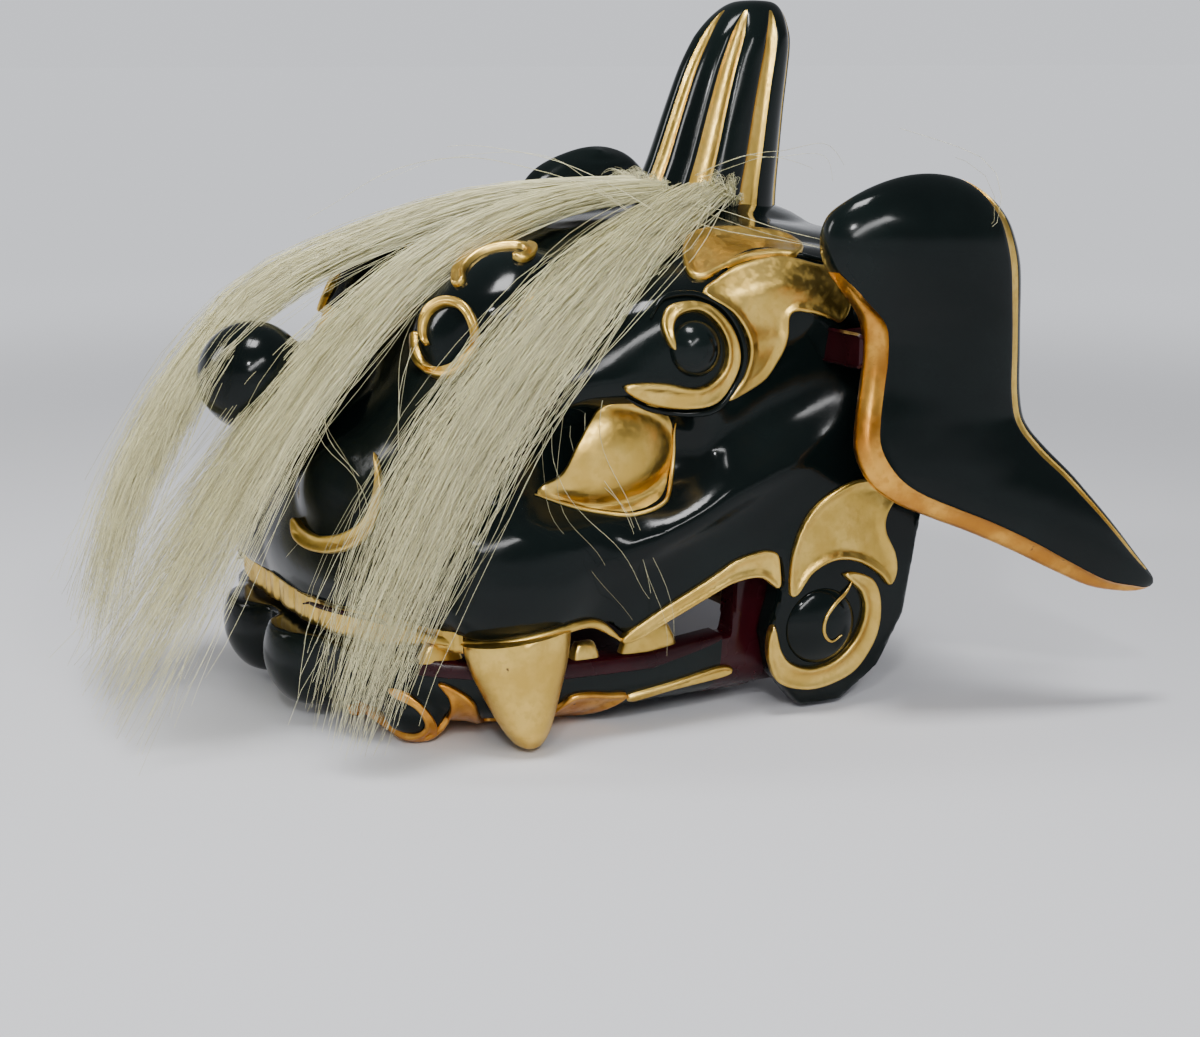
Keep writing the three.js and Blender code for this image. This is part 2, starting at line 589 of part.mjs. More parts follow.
/** The outline of a band that winds about the origin, its ends drawn to a point. */
function curlOutline({ start, sweep, radii, band }) {
  const steps = 7;
  const edge = (side) =>
    Array.from({ length: steps + 1 }, (_, i) => {
      const t = i / steps;
      const place = t * (radii.length - 1);
      const low = Math.min(Math.floor(place), radii.length - 2);
      const taper = Math.max(0.12, Math.min(1, 5 * t, 4 * (1 - t)));
      const radius = THREE.MathUtils.lerp(radii[low], radii[low + 1], place - low) + (side * band * taper) / 2;
      const turn = THREE.MathUtils.degToRad(start + sweep * t);
      return [radius * CROWN_HEIGHT * Math.cos(turn), radius * CROWN_HEIGHT * Math.sin(turn)];
    });
  return [...edge(1), ...edge(-1).reverse()];
}

/** An outline moved out from its own middle by a gap. */
function widened(outline, gap) {
  const middle = outline.reduce(([a, b], [c, d]) => [a + c / outline.length, b + d / outline.length], [0, 0]);
  return outline.map(([a, b]) => {
    const [da, db] = [a - middle[0], b - middle[1]];
    const stretch = 1 + gap / Math.hypot(da, db);
    return [middle[0] + da * stretch, middle[1] + db * stretch];
  });
}

/** A round outline about a place in Y and Z. */
function disc(y, z, radius) {
  return Array.from({ length: 16 }, (_, i) => {
    const turn = (2 * Math.PI * i) / 16;
    return [y + radius * Math.cos(turn), z + radius * Math.sin(turn)];
  });
}

/** A prism through the whole head of a side outline. */
function throughHead(outline) {
  return sidePrism(outline, -HEAD_WIDTH, HEAD_WIDTH);
}

/** A prism of a side outline through one cheek. */
function throughCheek(outline, side) {
  const inner = 0.68 * HALF_WIDTH;
  return side > 0 ? sidePrism(outline, inner, HEAD_WIDTH) : sidePrism(outline, -HEAD_WIDTH, -inner);
}

/** A prism of an outline about a middle on the lion's left, facing round and up by degrees; mirrored for the right. */
function facingPrism(outline, middle, round, lift, side) {
  const turn = THREE.MathUtils.degToRad(round);
  const rise = THREE.MathUtils.degToRad(lift);
  const right = new THREE.Vector3(Math.cos(turn), Math.sin(turn), 0);
  const out = new THREE.Vector3(
    Math.sin(turn) * Math.cos(rise),
    -Math.cos(turn) * Math.cos(rise),
    Math.sin(rise),
  );
  const up = new THREE.Vector3().crossVectors(out, right);
  const start = middle.clone().addScaledVector(out, -0.02 * HEAD_DEPTH);
  const made = prism(outline, start, right, up, 0.2 * HEAD_DEPTH);
  return side > 0 ? made : made.mirror([1, 0, 0]);
}

/** A closed prism of a rectangle between two corners. */
function block(low, high) {
  const box = new THREE.BoxGeometry(high[0] - low[0], high[1] - low[1], high[2] - low[2]);
  box.translate((low[0] + high[0]) / 2, (low[1] + high[1]) / 2, (low[2] + high[2]) / 2);
  return solidOf(box);
}

/** A round bar along X between two places. */
function bar(radius, fromX, toX) {
  const rod = new THREE.CylinderGeometry(radius, radius, toX - fromX, 14);
  rod.rotateZ(Math.PI / 2);
  rod.translate((fromX + toX) / 2, HINGE_Y, HINGE_Z);
  return solidOf(rod);
}

/** Side outline of everything under the lip, lowered by a gap. */
function underLip(gap) {
  const lip = raised(inHead(LIP_LINE), -gap);
  return [...lip, [lip[lip.length - 1][0], -HEAD_DEPTH], [lip[0][0], -HEAD_DEPTH]];
}

/** Side outline of the jaw above its floor plane, without the round end at the hinge. */
function jawOutline() {
  return [
    ...inHead(JAW_TOP),
    ...inHead(JAW_ARM),
    [HINGE_Y, HINGE_Z - HINGE_BOSS_RADIUS],
    [HINGE_Y - HINGE_BOSS_RADIUS, 0],
    ...inHead(CHIN_UNDERSIDE),
  ];
}

/** One ear on the lion's left, from its dome to its tip. */
function earSolid(grow) {
  return loft(
    EAR_SECTIONS.map((row) => {
      const centre = new THREE.Vector3(
        TENON_OUTER_X + row.x * EAR_LENGTH,
        EAR_Y + row.y * EAR_LENGTH,
        EAR_Z + row.z * EAR_LENGTH,
      );
      const turn = THREE.MathUtils.degToRad(row.turn);
      const along = new THREE.Vector3(0, Math.cos(turn), Math.sin(turn));
      return ellipse(centre, AXIS.x, along, row.thick * EAR_THICKNESS + grow, row.width * EAR_WIDTH + grow, 11);
    }),
  );
}

/** The ear's tenon, grown to cut its mortise. */
function tenonSolid(grow) {
  const y = TENON_DEPTH / 2 + grow;
  const z = TENON_HEIGHT / 2 + grow;
  const inner = TENON_OUTER_X - TENON_LENGTH - grow;
  return block([inner, EAR_Y - y, EAR_Z - z], [TENON_OUTER_X + TENON_IN_EAR + grow, EAR_Y + y, EAR_Z + z]);
}

/** The horn, fluted from foot to tip. */
function hornSolid(grow) {
  const sides = 2 * HORN_FLUTES;
  return loft(
    HORN_SECTIONS.map((row) => {
      const centre = new THREE.Vector3(0, HORN_Y + row.y * HORN_DEPTH, CROWN_HEIGHT + row.z * HORN_LENGTH);
      return Array.from({ length: sides }, (_, j) => {
        const turn = (2 * Math.PI * j) / sides;
        const flute = j % 2 === 1 ? 1 - HORN_FLUTE_DEPTH : 1;
        return centre
          .clone()
          .addScaledVector(AXIS.x, (row.width * HORN_DEPTH * flute + grow) * Math.cos(turn))
          .addScaledVector(AXIS.y, (row.depth * HORN_DEPTH * flute + grow) * Math.sin(turn));
      });
    }),
  );
}

/** One fang on the lion's left. */
function fangSolid() {
  const along = new THREE.Vector3(0.28, 0.96, 0).normalize();
  const outwards = new THREE.Vector3().crossVectors(along, AXIS.z);
  return loft(
    FANG_SECTIONS.map((row) => {
      const centre = new THREE.Vector3(FANG_X, FANG_Y + row.back * FANG_WIDTH, FANG_TOP - row.down * FANG_LENGTH);
      return ellipse(centre, outwards, along, row.thick * FANG_WIDTH, row.width * FANG_WIDTH, 10);
    }),
  );
}

/** One eyeball on the lion's left, drawn out to a corner in front. */
function eyeSolid() {
  const ball = new THREE.SphereGeometry(1, 14, 9);
  ball.rotateZ(Math.PI / 2);
  ball.scale(EYE_BULGE, EYE_LENGTH / 2, EYE_HEIGHT / 2);
  const place = ball.attributes.position;
  for (let i = 0; i < place.count; i++) {
    const forward = Math.max(0, -place.getY(i) / (EYE_LENGTH / 2));
    place.setZ(i, place.getZ(i) * (1 - 0.35 * forward) - 0.3 * EYE_HEIGHT * forward * forward);
  }
  ball.translate(EYE_X, EYE_Y, EYE_Z);
  return solidOf(ball);
}

/** The carved head with its domes as one value. */
function domedValue(x, y, z) {
  return DOMES.reduce((value, row) => {
    const px = (Math.abs(x) - row.x * HALF_WIDTH) / row.flat;
    const away = Math.hypot(px, y - row.y * HEAD_DEPTH, z - row.z * CROWN_HEIGHT) - row.radius * CROWN_HEIGHT;
    return Math.min(value, away);
  }, faceValue(x, y, z));
}

/** A place lifted clear of the carving, and the way it was lifted. */
function liftedOff(place, lift) {
  const origin = new THREE.Vector3(0, Math.max(SPINE_Y, place.y), SPINE_Z);
  const outwards = place.clone().sub(origin);
  const asked = outwards.length();
  outwards.normalize();
  const least = reach(domedValue, origin, outwards) + lift;
  return { outwards, place: origin.addScaledVector(outwards, Math.max(asked, least)) };
}

/** One lock of a bundle, at a share across it from -1 to 1. */
function lockSolid(bundle, share) {
  const curve = new THREE.CatmullRomCurve3(
    bundle.map((row) => new THREE.Vector3(row.x * HALF_WIDTH, row.y * HEAD_DEPTH, row.z * CROWN_HEIGHT)),
  );
  const steps = 8;
  const half = LOCK_WIDTH / LOCKS_IN_BUNDLE / 2;
  const rings = [];
  for (let i = 0; i <= steps; i++) {
    const t = i / steps;
    const rank = t * (bundle.length - 1);
    const low = Math.min(Math.floor(rank), bundle.length - 2);
    const width = THREE.MathUtils.lerp(bundle[low].width, bundle[low + 1].width, rank - low);
    const ahead = curve.getTangent(t);
    const middle = curve.getPoint(t);
    const first = liftedOff(middle, MANE_LIFT);
    const across = new THREE.Vector3().crossVectors(ahead, first.outwards).normalize();
    const aside = share * LOCK_WIDTH * LOCK_SPREAD * width;
    const { place, outwards } = liftedOff(first.place.clone().addScaledVector(across, aside), MANE_LIFT);
    const thin = i === steps ? 0.4 : 1;
    const flat = new THREE.Vector3().crossVectors(across, ahead).normalize();
    if (flat.dot(outwards) < 0) flat.negate();
    rings.push(ellipse(place, across, flat, half * width * 0.98 * thin, LOCK_THICKNESS * thin * 0.5, 6));
  }
  return loft(rings);
}

/** The band of hair roots round the front of the horn. */
function maneRoots() {
  const rings = [];
  const steps = 8;
  for (let i = 0; i <= steps; i++) {
    const turn = Math.PI * (1.02 + (0.96 * i) / steps);
    const away = new THREE.Vector3(Math.cos(turn), Math.sin(turn), 0);
    const place = new THREE.Vector3(
      away.x * (0.42 * HORN_DEPTH + LOCK_THICKNESS),
      HORN_Y + away.y * (0.5 * HORN_DEPTH + LOCK_THICKNESS),
      CROWN_HEIGHT,
    );
    const seat = liftedOff(place, 0.4 * LOCK_THICKNESS);
    rings.push(ellipse(seat.place, away, seat.outwards, LOCK_THICKNESS, LOCK_THICKNESS * 0.7, 6));
  }
  return loft(rings);
}

/** The mane: three bundles of locks fused to the band of their roots, clear of all that they lie over. */
function maneSolid() {
  let hair = maneRoots();
  for (const bundle of MANE_BUNDLES) {
    for (let i = 0; i < LOCKS_IN_BUNDLE; i++) {
      hair = hair.add(lockSolid(bundle, (2 * i) / (LOCKS_IN_BUNDLE - 1) - 1));
    }
  }
  return hair.subtract(grownFace(GILT_OUTSIDE + CLEARANCE)).subtract(hornSolid(CLEARANCE));
}

/** The mirror image of a solid for the lion's right. */
function onSide(solid, side) {
  return side > 0 ? solid : solid.mirror([1, 0, 0]);
}

const faceRays = carvingRays(SPINE_Z, FACE_STEPS, FACE_SECTIONS, FACE_FAN);
const faceReaches = measured(faceValue, faceRays);
const cavityRays = carvingRays(SPINE_Z, 20, 4, 5);
const cavityReaches = measured(insideValue, cavityRays);
const jawRays = carvingRays(JAW_HEIGHT / 2, 22, 4, 5);
const jawReaches = measured(jawValue, jawRays);
const skinOverWood = grownFace(CLEARANCE);
const skinOverJaw = grownJaw(CLEARANCE);
const faceGilt = grownFace(GILT_OUTSIDE).subtract(skinOverWood);
const jawGilt = grownJaw(GILT_OUTSIDE).subtract(skinOverJaw);

const group = new THREE.Group();
const body = { head: new THREE.Group(), jaw: new THREE.Group() };
group.add(body.head, body.jaw);

/** Adds one named piece to the head or the jaw. */
function add(parent, name, solid, material) {
  const mesh = new THREE.Mesh(geometryOf(largest(solid).simplify(SMALLEST_DETAIL)), material);
  mesh.name = name;
  body[parent].add(mesh);
}

/** The hollow head: carved outside, plain inside, open behind and below, with its mortises and pin sockets. */
function headShell() {
  const outline = [
    ...inHead(LIP_LINE),
    ...inHead(CHEEK_EDGE),
    [0.56 * HEAD_DEPTH, 1.4 * CROWN_HEIGHT],
    [-0.72 * HEAD_DEPTH, 1.4 * CROWN_HEIGHT],
  ];
  let shell = grownFace(0).intersect(throughHead(outline)).subtract(carvedSolid(cavityRays, cavityReaches, -WALL));
  for (const [, side] of SIDES) shell = shell.subtract(onSide(tenonSolid(CLEARANCE), side));
  return shell.subtract(bar(PIN_RADIUS + CLEARANCE, -PIN_HALF_LENGTH - CLEARANCE, PIN_HALF_LENGTH + CLEARANCE));
}

/** The jaw: a trough with a thick lip, a flat underside and two arms that rise to the hinge. */
function jawShell() {
  const boss = bar(HINGE_BOSS_RADIUS, -HEAD_WIDTH, HEAD_WIDTH);
  const outside = grownJaw(0).intersect(throughHead(jawOutline()).add(boss)).subtract(
    block([-HEAD_WIDTH, -HEAD_DEPTH, -HEAD_DEPTH], [HEAD_WIDTH, HEAD_DEPTH, 0]),
  );
  const rearOfFloor = HINGE_Y - HINGE_BOSS_RADIUS - JAW_WALL;
  const trough = [
    [-HEAD_DEPTH, JAW_FLOOR], [rearOfFloor, JAW_FLOOR], [rearOfFloor, -HEAD_DEPTH],
    [HEAD_DEPTH, -HEAD_DEPTH], [HEAD_DEPTH, HEAD_DEPTH], [-HEAD_DEPTH, HEAD_DEPTH],
  ];
  const hollow = carvedSolid(jawRays, jawReaches, -JAW_WALL).intersect(throughHead(trough));
  const rearOpening = block([-JAW_INNER_X, rearOfFloor, -JAW_HEIGHT], [JAW_INNER_X, HEAD_DEPTH, HEAD_DEPTH]);
  return outside.subtract(hollow).subtract(rearOpening)
    .subtract(bar(PIN_RADIUS + PIN_RUNNING_GAP, -HEAD_WIDTH, HEAD_WIDTH));
}

/** The gilded rim that follows the upper lip all round, widening at the corners of the mouth. */
function lipRim() {
  const lip = inHead(LIP_LINE);
  const top = lip.map(([y, z], i) => [y, z + LIP_RIM_HEIGHT * (i < 7 ? 1 : 1 + 0.5 * (i - 6))]);
  return faceGilt.intersect(throughHead([...lip, ...top.reverse()]));
}

/** The row of upper front teeth, scored between one tooth and the next. */
function upperTeeth() {
  const row = underLip(CLEARANCE).map(([y, z]) => [y, Math.max(z, UPPER_TEETH_FOOT)]);
  const front = row.filter(([y]) => y < -0.38 * HEAD_DEPTH);
  const ends = [[-0.38 * HEAD_DEPTH, UPPER_TEETH_FOOT], [-0.72 * HEAD_DEPTH, UPPER_TEETH_FOOT]];
  let teeth = carvedSolid(faceRays, faceReaches, -TEETH_INSET);
  teeth = teeth.subtract(carvedSolid(faceRays, faceReaches, -TEETH_INSET - TEETH_THICKNESS));
  teeth = teeth.intersect(throughHead([...front.slice(0, 3), ...ends]));
  for (const share of UPPER_GAPS) {
    const x = share * HALF_WIDTH;
    teeth = teeth.subtract(
      block([x - 0.7, -HEAD_DEPTH, 0], [x + 0.7, -0.3 * HEAD_DEPTH, UPPER_TEETH_FOOT + 0.7 * UPPER_TEETH_HEIGHT]),
    );
  }
  return teeth;
}

/** The lower side teeth, standing on one strip of gum along the jaw's edge. */
function lowerTeeth() {
  const foot = raised(inHead(JAW_TOP), CLEARANCE).filter(([y]) => y > -0.4 * HEAD_DEPTH);
  const gum = [...foot, ...raised(foot, GUM_HEIGHT).reverse()];
  const wall = carvedSolid(jawRays, jawReaches, -TEETH_INSET).subtract(
    carvedSolid(jawRays, jawReaches, -TEETH_INSET - TEETH_THICKNESS),
  );
  let outline = throughCheek(gum, 1);
  for (const { y, half, high } of LOWER_TEETH) {
    const base = heightAt(JAW_TOP, y * HEAD_DEPTH) + CLEARANCE + 0.5 * GUM_HEIGHT;
    const crown = base + high * LOWER_TEETH_HEIGHT;
    const [a, b] = [(y - half) * HEAD_DEPTH, (y + half) * HEAD_DEPTH];
    const slope = 0.4 * half * HEAD_DEPTH;
    outline = outline.add(throughCheek([[a, base], [b, base], [b - slope, crown], [a + slope, crown]], 1));
  }
  return wall.intersect(outline);
}

add("head", "head_shell", headShell(), lacquer);
add("head", "lip_rim", lipRim(), goldLeaf);
add("head", "upper_teeth", upperTeeth(), goldLeaf);
add("head", "horn", hornSolid(0).subtract(skinOverWood), lacquer);
add("head", "mane", maneSolid(), horsehair);
add("head", "jaw_pin", bar(PIN_RADIUS, -PIN_HALF_LENGTH, PIN_HALF_LENGTH), plainWood);
add("jaw", "jaw", jawShell(), lacquer);
for (const [sideName, side] of SIDES) {
  const named = (name) => name + "_" + sideName;
  const sided = (solid) => onSide(solid, side);
  const ear = sided(earSolid(0).subtract(tenonSolid(CLEARANCE))).subtract(skinOverWood);
  const eye = sided(eyeSolid()).subtract(skinOverWood);
  const fang = fangSolid().intersect(throughHead(underLip(CLEARANCE)));
  add("head", named("ear"), ear, lacquer);
  add("head", named("ear_tenon"), sided(tenonSolid(0)), redLacquer);
  add("head", named("eye"), eye, goldLeaf);
  add("head", named("fang"), sided(fang), goldLeaf);
  add("jaw", named("lower_teeth"), sided(lowerTeeth()), goldLeaf);
  const leaf = smooth(inHead(BROW_LEAF), 20);
  const flame = smooth(inHead(CHEEK_FLAME), 20);
  const browCurl = CURLS[0];
  const ring = disc(browCurl.y * HEAD_DEPTH, browCurl.z * CROWN_HEIGHT, BROW_RING_RADIUS);
  const leafPrism = throughCheek(leaf, side).subtract(throughCheek(ring, side));
  add("head", named("brow_leaf"), faceGilt.intersect(leafPrism), goldLeaf);
  add("head", named("cheek_flame"), faceGilt.intersect(throughCheek(flame, side)), goldLeaf);
  const upperLeaf = smooth(UPPER_LEAF.map(({ a, b }) => [a * CROWN_HEIGHT, b * CROWN_HEIGHT]), 14);
  const leafMiddle = new THREE.Vector3(0.6 * HALF_WIDTH, 0.25 * HEAD_DEPTH, 0.92 * CROWN_HEIGHT);
  const apart = throughCheek(widened(leaf, LEAF_GAP), side);
  const upperPrism = facingPrism(upperLeaf, leafMiddle, UPPER_LEAF_ROUND, UPPER_LEAF_LIFT, side).subtract(apart);
  add("head", named("upper_leaf"), faceGilt.intersect(upperPrism), goldLeaf);
  for (const row of CURLS) {
    const outline = curlOutline(row).map(([a, b]) => [a + row.y * HEAD_DEPTH, b + row.z * CROWN_HEIGHT]);
    add("head", named(row.name), faceGilt.intersect(throughCheek(outline, side)), goldLeaf);
  }
  for (const row of FRONT_CURLS) {
    const middle = new THREE.Vector3(row.x * HALF_WIDTH, row.y * HEAD_DEPTH, row.z * CROWN_HEIGHT);
    const band = facingPrism(curlOutline(row), middle, row.round, row.lift, side);
    add("head", named(row.name), faceGilt.intersect(band), goldLeaf);
  }
  const jawFlame = smooth(inHead(JAW_FLAME), 14);
  add("jaw", named("jaw_flame"), jawGilt.intersect(throughCheek(jawFlame, side)), goldLeaf);
  add("jaw", named("jaw_line"), jawGilt.intersect(throughCheek(inHead(JAW_LINE), side)), goldLeaf);
}

export default group;
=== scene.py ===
"""The looks of a carved, lacquered and gilded lion dance head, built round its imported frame.

Sizes are in millimetres until a mesh is made, +X is the lion's left, -Y its front and +Z up.
"""

from __future__ import annotations

import json
import logging
import math
from dataclasses import dataclass, field
from enum import Enum
from typing import Callable, Iterable, Sequence

import bpy
import numpy as np
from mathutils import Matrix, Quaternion, Vector
from mathutils.geometry import delaunay_2d_cdt

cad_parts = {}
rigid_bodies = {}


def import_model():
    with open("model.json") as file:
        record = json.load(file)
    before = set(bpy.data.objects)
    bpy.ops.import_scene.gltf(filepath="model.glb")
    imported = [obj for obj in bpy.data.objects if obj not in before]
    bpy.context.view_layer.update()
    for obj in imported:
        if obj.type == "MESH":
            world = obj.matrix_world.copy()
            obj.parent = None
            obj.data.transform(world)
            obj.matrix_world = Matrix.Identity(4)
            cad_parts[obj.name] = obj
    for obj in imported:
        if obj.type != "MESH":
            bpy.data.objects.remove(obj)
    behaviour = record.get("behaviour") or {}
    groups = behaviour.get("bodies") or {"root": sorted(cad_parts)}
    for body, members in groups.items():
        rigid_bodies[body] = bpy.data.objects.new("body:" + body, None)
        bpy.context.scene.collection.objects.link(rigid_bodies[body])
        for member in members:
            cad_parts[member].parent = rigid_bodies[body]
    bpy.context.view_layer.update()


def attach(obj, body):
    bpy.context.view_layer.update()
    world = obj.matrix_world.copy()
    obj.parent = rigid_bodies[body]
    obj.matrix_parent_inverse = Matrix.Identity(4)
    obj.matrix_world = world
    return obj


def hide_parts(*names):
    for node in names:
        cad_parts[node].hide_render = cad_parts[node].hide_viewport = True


LOG = logging.getLogger("lion_head")
MM = 0.001
Points = np.ndarray
Value = Callable[[Points], Points]
Triple = tuple[float, float, float]
Socket = bpy.types.NodeSocket

HEAD_WIDTH = 292.0
HEAD_DEPTH = 300.0
CROWN_HEIGHT = 236.0
HALF_WIDTH = HEAD_WIDTH / 2
WALL = 11.0
REAR_RIM_Y = 148.0
SPINE_Y = -30.0
SPINE_Z = 99.0
JAW_WIDTH = 262.0
JAW_HEIGHT = 104.0
JAW_WALL = 14.0
JAW_FLOOR = 14.0
JAW_SINK = 2.0
JAW_INNER_X = 116.0
HINGE_Y = 95.0
HINGE_Z = 32.0
HINGE_BOSS_RADIUS = 16.0
HORN_DEPTH = 70.0
HORN_LENGTH = 122.0
HORN_Y = 107.0
SIDES = (("left", 1), ("right", -1))
SKY_LIGHT = 1.08
SKY_COLOUR = (0.80, 0.82, 0.87)


class Slot(Enum):
    """The record's material slots."""

    BLACK = "black_lacquer"
    GOLD = "gold_leaf"
    AMBER = "amber_gold"
    WINE = "wine_lacquer"
    HAIR = "horsehair"
    WOOD = "plain_wood"


class Body(Enum):
    """The two bodies that pieces ride on."""

    HEAD = "head"
    JAW = "jaw"


class Profile(Enum):
    """How a piece of relief rises from its edge to its middle."""

    DISHED = "dished"
    DOMED = "domed"


class NodeBoard:
    """A node tree with short calls to add and fill nodes."""

    tree: bpy.types.NodeTree

    def add(self, kind: str, inputs: dict | None = None, **settings: object) -> bpy.types.Node:
        """Adds a node, sets its properties and fills its inputs.

        Args:
            kind: the node's type.
            inputs: values or sockets by input name or number.
            settings: the properties to set.

        Returns:
            The new node.
        """
        node = self.tree.nodes.new(kind)
        for name, value in settings.items():
            setattr(node, name, value)
        self.fill(node, inputs or {})
        return node

    def fill(self, node: bpy.types.Node, inputs: dict) -> None:
        """Fills a node's inputs.

        Args:
            node: the node.
            inputs: values or sockets by input name or number.
        """
        for name, value in inputs.items():
            socket = node.inputs[name]
            if isinstance(value, Socket):
                self.tree.links.new(value, socket)
            else:
                socket.default_value = value


class NodeSheet(NodeBoard):
    """A material's nodes."""

    def __init__(self, name: str) -> None:
        """Starts a material that holds only its output and its main shader.

        Args:
            name: the material's name.
        """
        self.material = bpy.data.materials.new(name)
        self.material.use_nodes = True
        self.tree = self.material.node_tree
        self.shader = self.tree.nodes["Principled BSDF"]
        coordinates = self.tree.nodes.new("ShaderNodeTexCoord")
        self.place = coordinates.outputs["Object"]

    def join(self, source: Socket, target: Socket) -> None:
        """Joins an output to an input."""
        self.tree.links.new(source, target)

    def noise(self, scale: float, detail: float = 3.0, stretch: Sequence[float] = (1, 1, 1)) -> Socket:
        """Adds a noise over the object's own coordinates.

        Args:
            scale: waves in a metre.
            detail: how fine the noise is.
            stretch: scale along each axis.

        Returns:
            The noise's value.
        """
        mapping = self.add("ShaderNodeMapping", {"Scale": stretch, "Vector": self.place})
        place = mapping.outputs["Vector"]
        noise = self.add("ShaderNodeTexNoise", {"Scale": scale, "Detail": detail, "Vector": place})
        return noise.outputs["Fac"]

    def spread(self, source: Socket, low: float, high: float, to_low: float = 0.0, to_high: float = 1.0) -> Socket:
        """Maps a value from one range, low to high, to another, clamped."""
        ranges = {"Value": source, "From Min": low, "From Max": high, "To Min": to_low, "To Max": to_high}
        return self.add("ShaderNodeMapRange", ranges, interpolation_type="SMOOTHSTEP").outputs["Result"]

    def blend(self, amount: Socket, first: object, second: object) -> Socket:
        """Mixes two colours, each a socket or a fixed colour.

        Args:
            amount: how much of the second colour shows.
            first: the first colour.
            second: the second colour.

        Returns:
            The mixed colour.
        """
        node = self.add("ShaderNodeMix", data_type="RGBA")
        self.join(amount, node.inputs[0])
        for socket, colour in ((node.inputs[6], first), (node.inputs[7], second)):
            if isinstance(colour, Socket):
                self.join(colour, socket)
            else:
                socket.default_value = (*colour, 1.0)
        return node.outputs[2]

    def bump(self, heights: Sequence[tuple[Socket, float]]) -> None:
        """Chains bumps, each with its height in metres, into the shader's normal.

        Args:
            heights: pairs of a height field and its size.
        """
        before = None
        for source, size in heights:
            node = self.add("ShaderNodeBump", {"Strength": 1.0, "Distance": size, "Height": source})
            if before is not None:
                self.join(before, node.inputs["Normal"])
            before = node.outputs["Normal"]
        self.join(before, self.shader.inputs["Normal"])

    def set(self, **values: object) -> None:
        """Sets constants on the shader, underscores standing for spaces."""
        for name, value in values.items():
            self.shader.inputs[name.replace("_", " ")].default_value = value


@dataclass(frozen=True)
class Lacquer:
    """Brushed and polished lacquer, its skin a little wavy."""

    name: str
    colour: Triple
    cloud: Triple
    roughness: float
    shine: float
    ripple: float = 0.0009
    grain: float = 0.000012
    cloud_waves: float = 14.0
    polish_waves: float = 30.0
    ripple_waves: float = 26.0
    dust_waves: float = 900.0
    grain_waves: float = 1400.0

    def material(self) -> bpy.types.Material:
        """Builds the lacquer's material.

        Returns:
            The material.
        """
        sheet = NodeSheet(self.name)
        cloud = sheet.spread(sheet.noise(self.cloud_waves, 4.0), 0.35, 0.7)
        dust = sheet.spread(sheet.noise(self.dust_waves, 2.0), 0.72, 0.8)
        sheet.join(sheet.blend(cloud, self.colour, self.cloud), sheet.shader.inputs["Base Color"])
        sheet.set(Specular_IOR_Level=self.shine)
        polish = sheet.noise(self.polish_waves, 5.0)
        rough = sheet.spread(polish, 0.3, 0.8, self.roughness, self.roughness * 2.2)
        mixed = sheet.add("ShaderNodeMath", operation="ADD")
        sheet.join(rough, mixed.inputs[0])
        dusty = sheet.spread(dust, 0.0, 1.0, 0.0, 0.25)
        sheet.join(dusty, mixed.inputs[1])
        sheet.join(mixed.outputs[0], sheet.shader.inputs["Roughness"])
        ripples = sheet.noise(self.ripple_waves, 1.5)
        sheet.bump([(ripples, self.ripple), (sheet.noise(self.grain_waves, 1.0), self.grain)])
        return sheet.material


@dataclass(frozen=True)
class Gilding:
    """Gold leaf over lacquer: mottled, rubbed thin in places and pitted where it has worn."""

    name: str
    bright: Triple
    deep: Triple
    worn: Triple
    wear: float
    coat: float = 0.0
    mottle_waves: float = 45.0
    leaf_waves: float = 260.0
    pit_waves: float = 150.0
    dent_waves: float = 60.0
    dent: float = 0.00035

    def material(self) -> bpy.types.Material:
        """Builds the gold leaf's material.

        Returns:
            The material.
        """
        sheet = NodeSheet(self.name)
        mottle = sheet.spread(sheet.noise(self.mottle_waves, 6.0), 0.34, 0.66)
        fine = sheet.spread(sheet.noise(self.leaf_waves, 5.0), 0.4, 0.72)
        colour = sheet.blend(mottle, self.bright, self.deep)
        colour = sheet.blend(sheet.spread(fine, 0.0, 1.0, 0.0, 0.45), colour, self.deep)
        pits = sheet.spread(sheet.noise(self.pit_waves, 7.0), 0.8 - self.wear, 0.86 - self.wear)
        colour = sheet.blend(pits, colour, self.worn)
        sheet.join(colour, sheet.shader.inputs["Base Color"])
        sheet.join(sheet.spread(pits, 0.0, 1.0, 1.0, 0.35), sheet.shader.inputs["Metallic"])
        sheet.join(sheet.spread(fine, 0.0, 1.0, 0.3, 0.46), sheet.shader.inputs["Roughness"])
        sheet.set(Coat_Weight=self.coat, Coat_Roughness=0.12)
        dents = sheet.noise(self.dent_waves, 3.0)
        sheet.bump([(dents, self.dent), (sheet.noise(420.0, 4.0), 0.00005), (pits, -0.00008)])
        return sheet.material


@dataclass(frozen=True)
class Horsehair:
    """Pale hair, each strand with its own tint, the darker tints partly painted shade between the strands."""

    name: str = "horsehair"
    light: Triple = (0.98, 0.94, 0.57)
    # The dark end is partly the hair's own darker strands and partly painted shade in the gaps between strands.
    dark: Triple = (0.34, 0.3, 0.15)

    def material(self) -> bpy.types.Material:
        """Builds the hair's material.

        Returns:
            The material.
        """
        sheet = NodeSheet(self.name)
        # This strand attribute mixes real tint with painted shade: the darker strands stand in for the shade between
        # strands.
        tint = sheet.add("ShaderNodeAttribute", attribute_name="tint")
        mixed = sheet.add("ShaderNodeMath", operation="MULTIPLY_ADD")
        sheet.join(sheet.spread(sheet.noise(60.0, 2.0), 0.35, 0.7), mixed.inputs[0])
        mixed.inputs[1].default_value = 0.15
        sheet.join(tint.outputs["Fac"], mixed.inputs[2])
        sheet.join(sheet.blend(mixed.outputs[0], self.light, self.dark), sheet.shader.inputs["Base Color"])
        sheet.set(Roughness=0.38, Sheen_Weight=0.2, Sheen_Roughness=0.4, IOR=1.5)
        return sheet.material


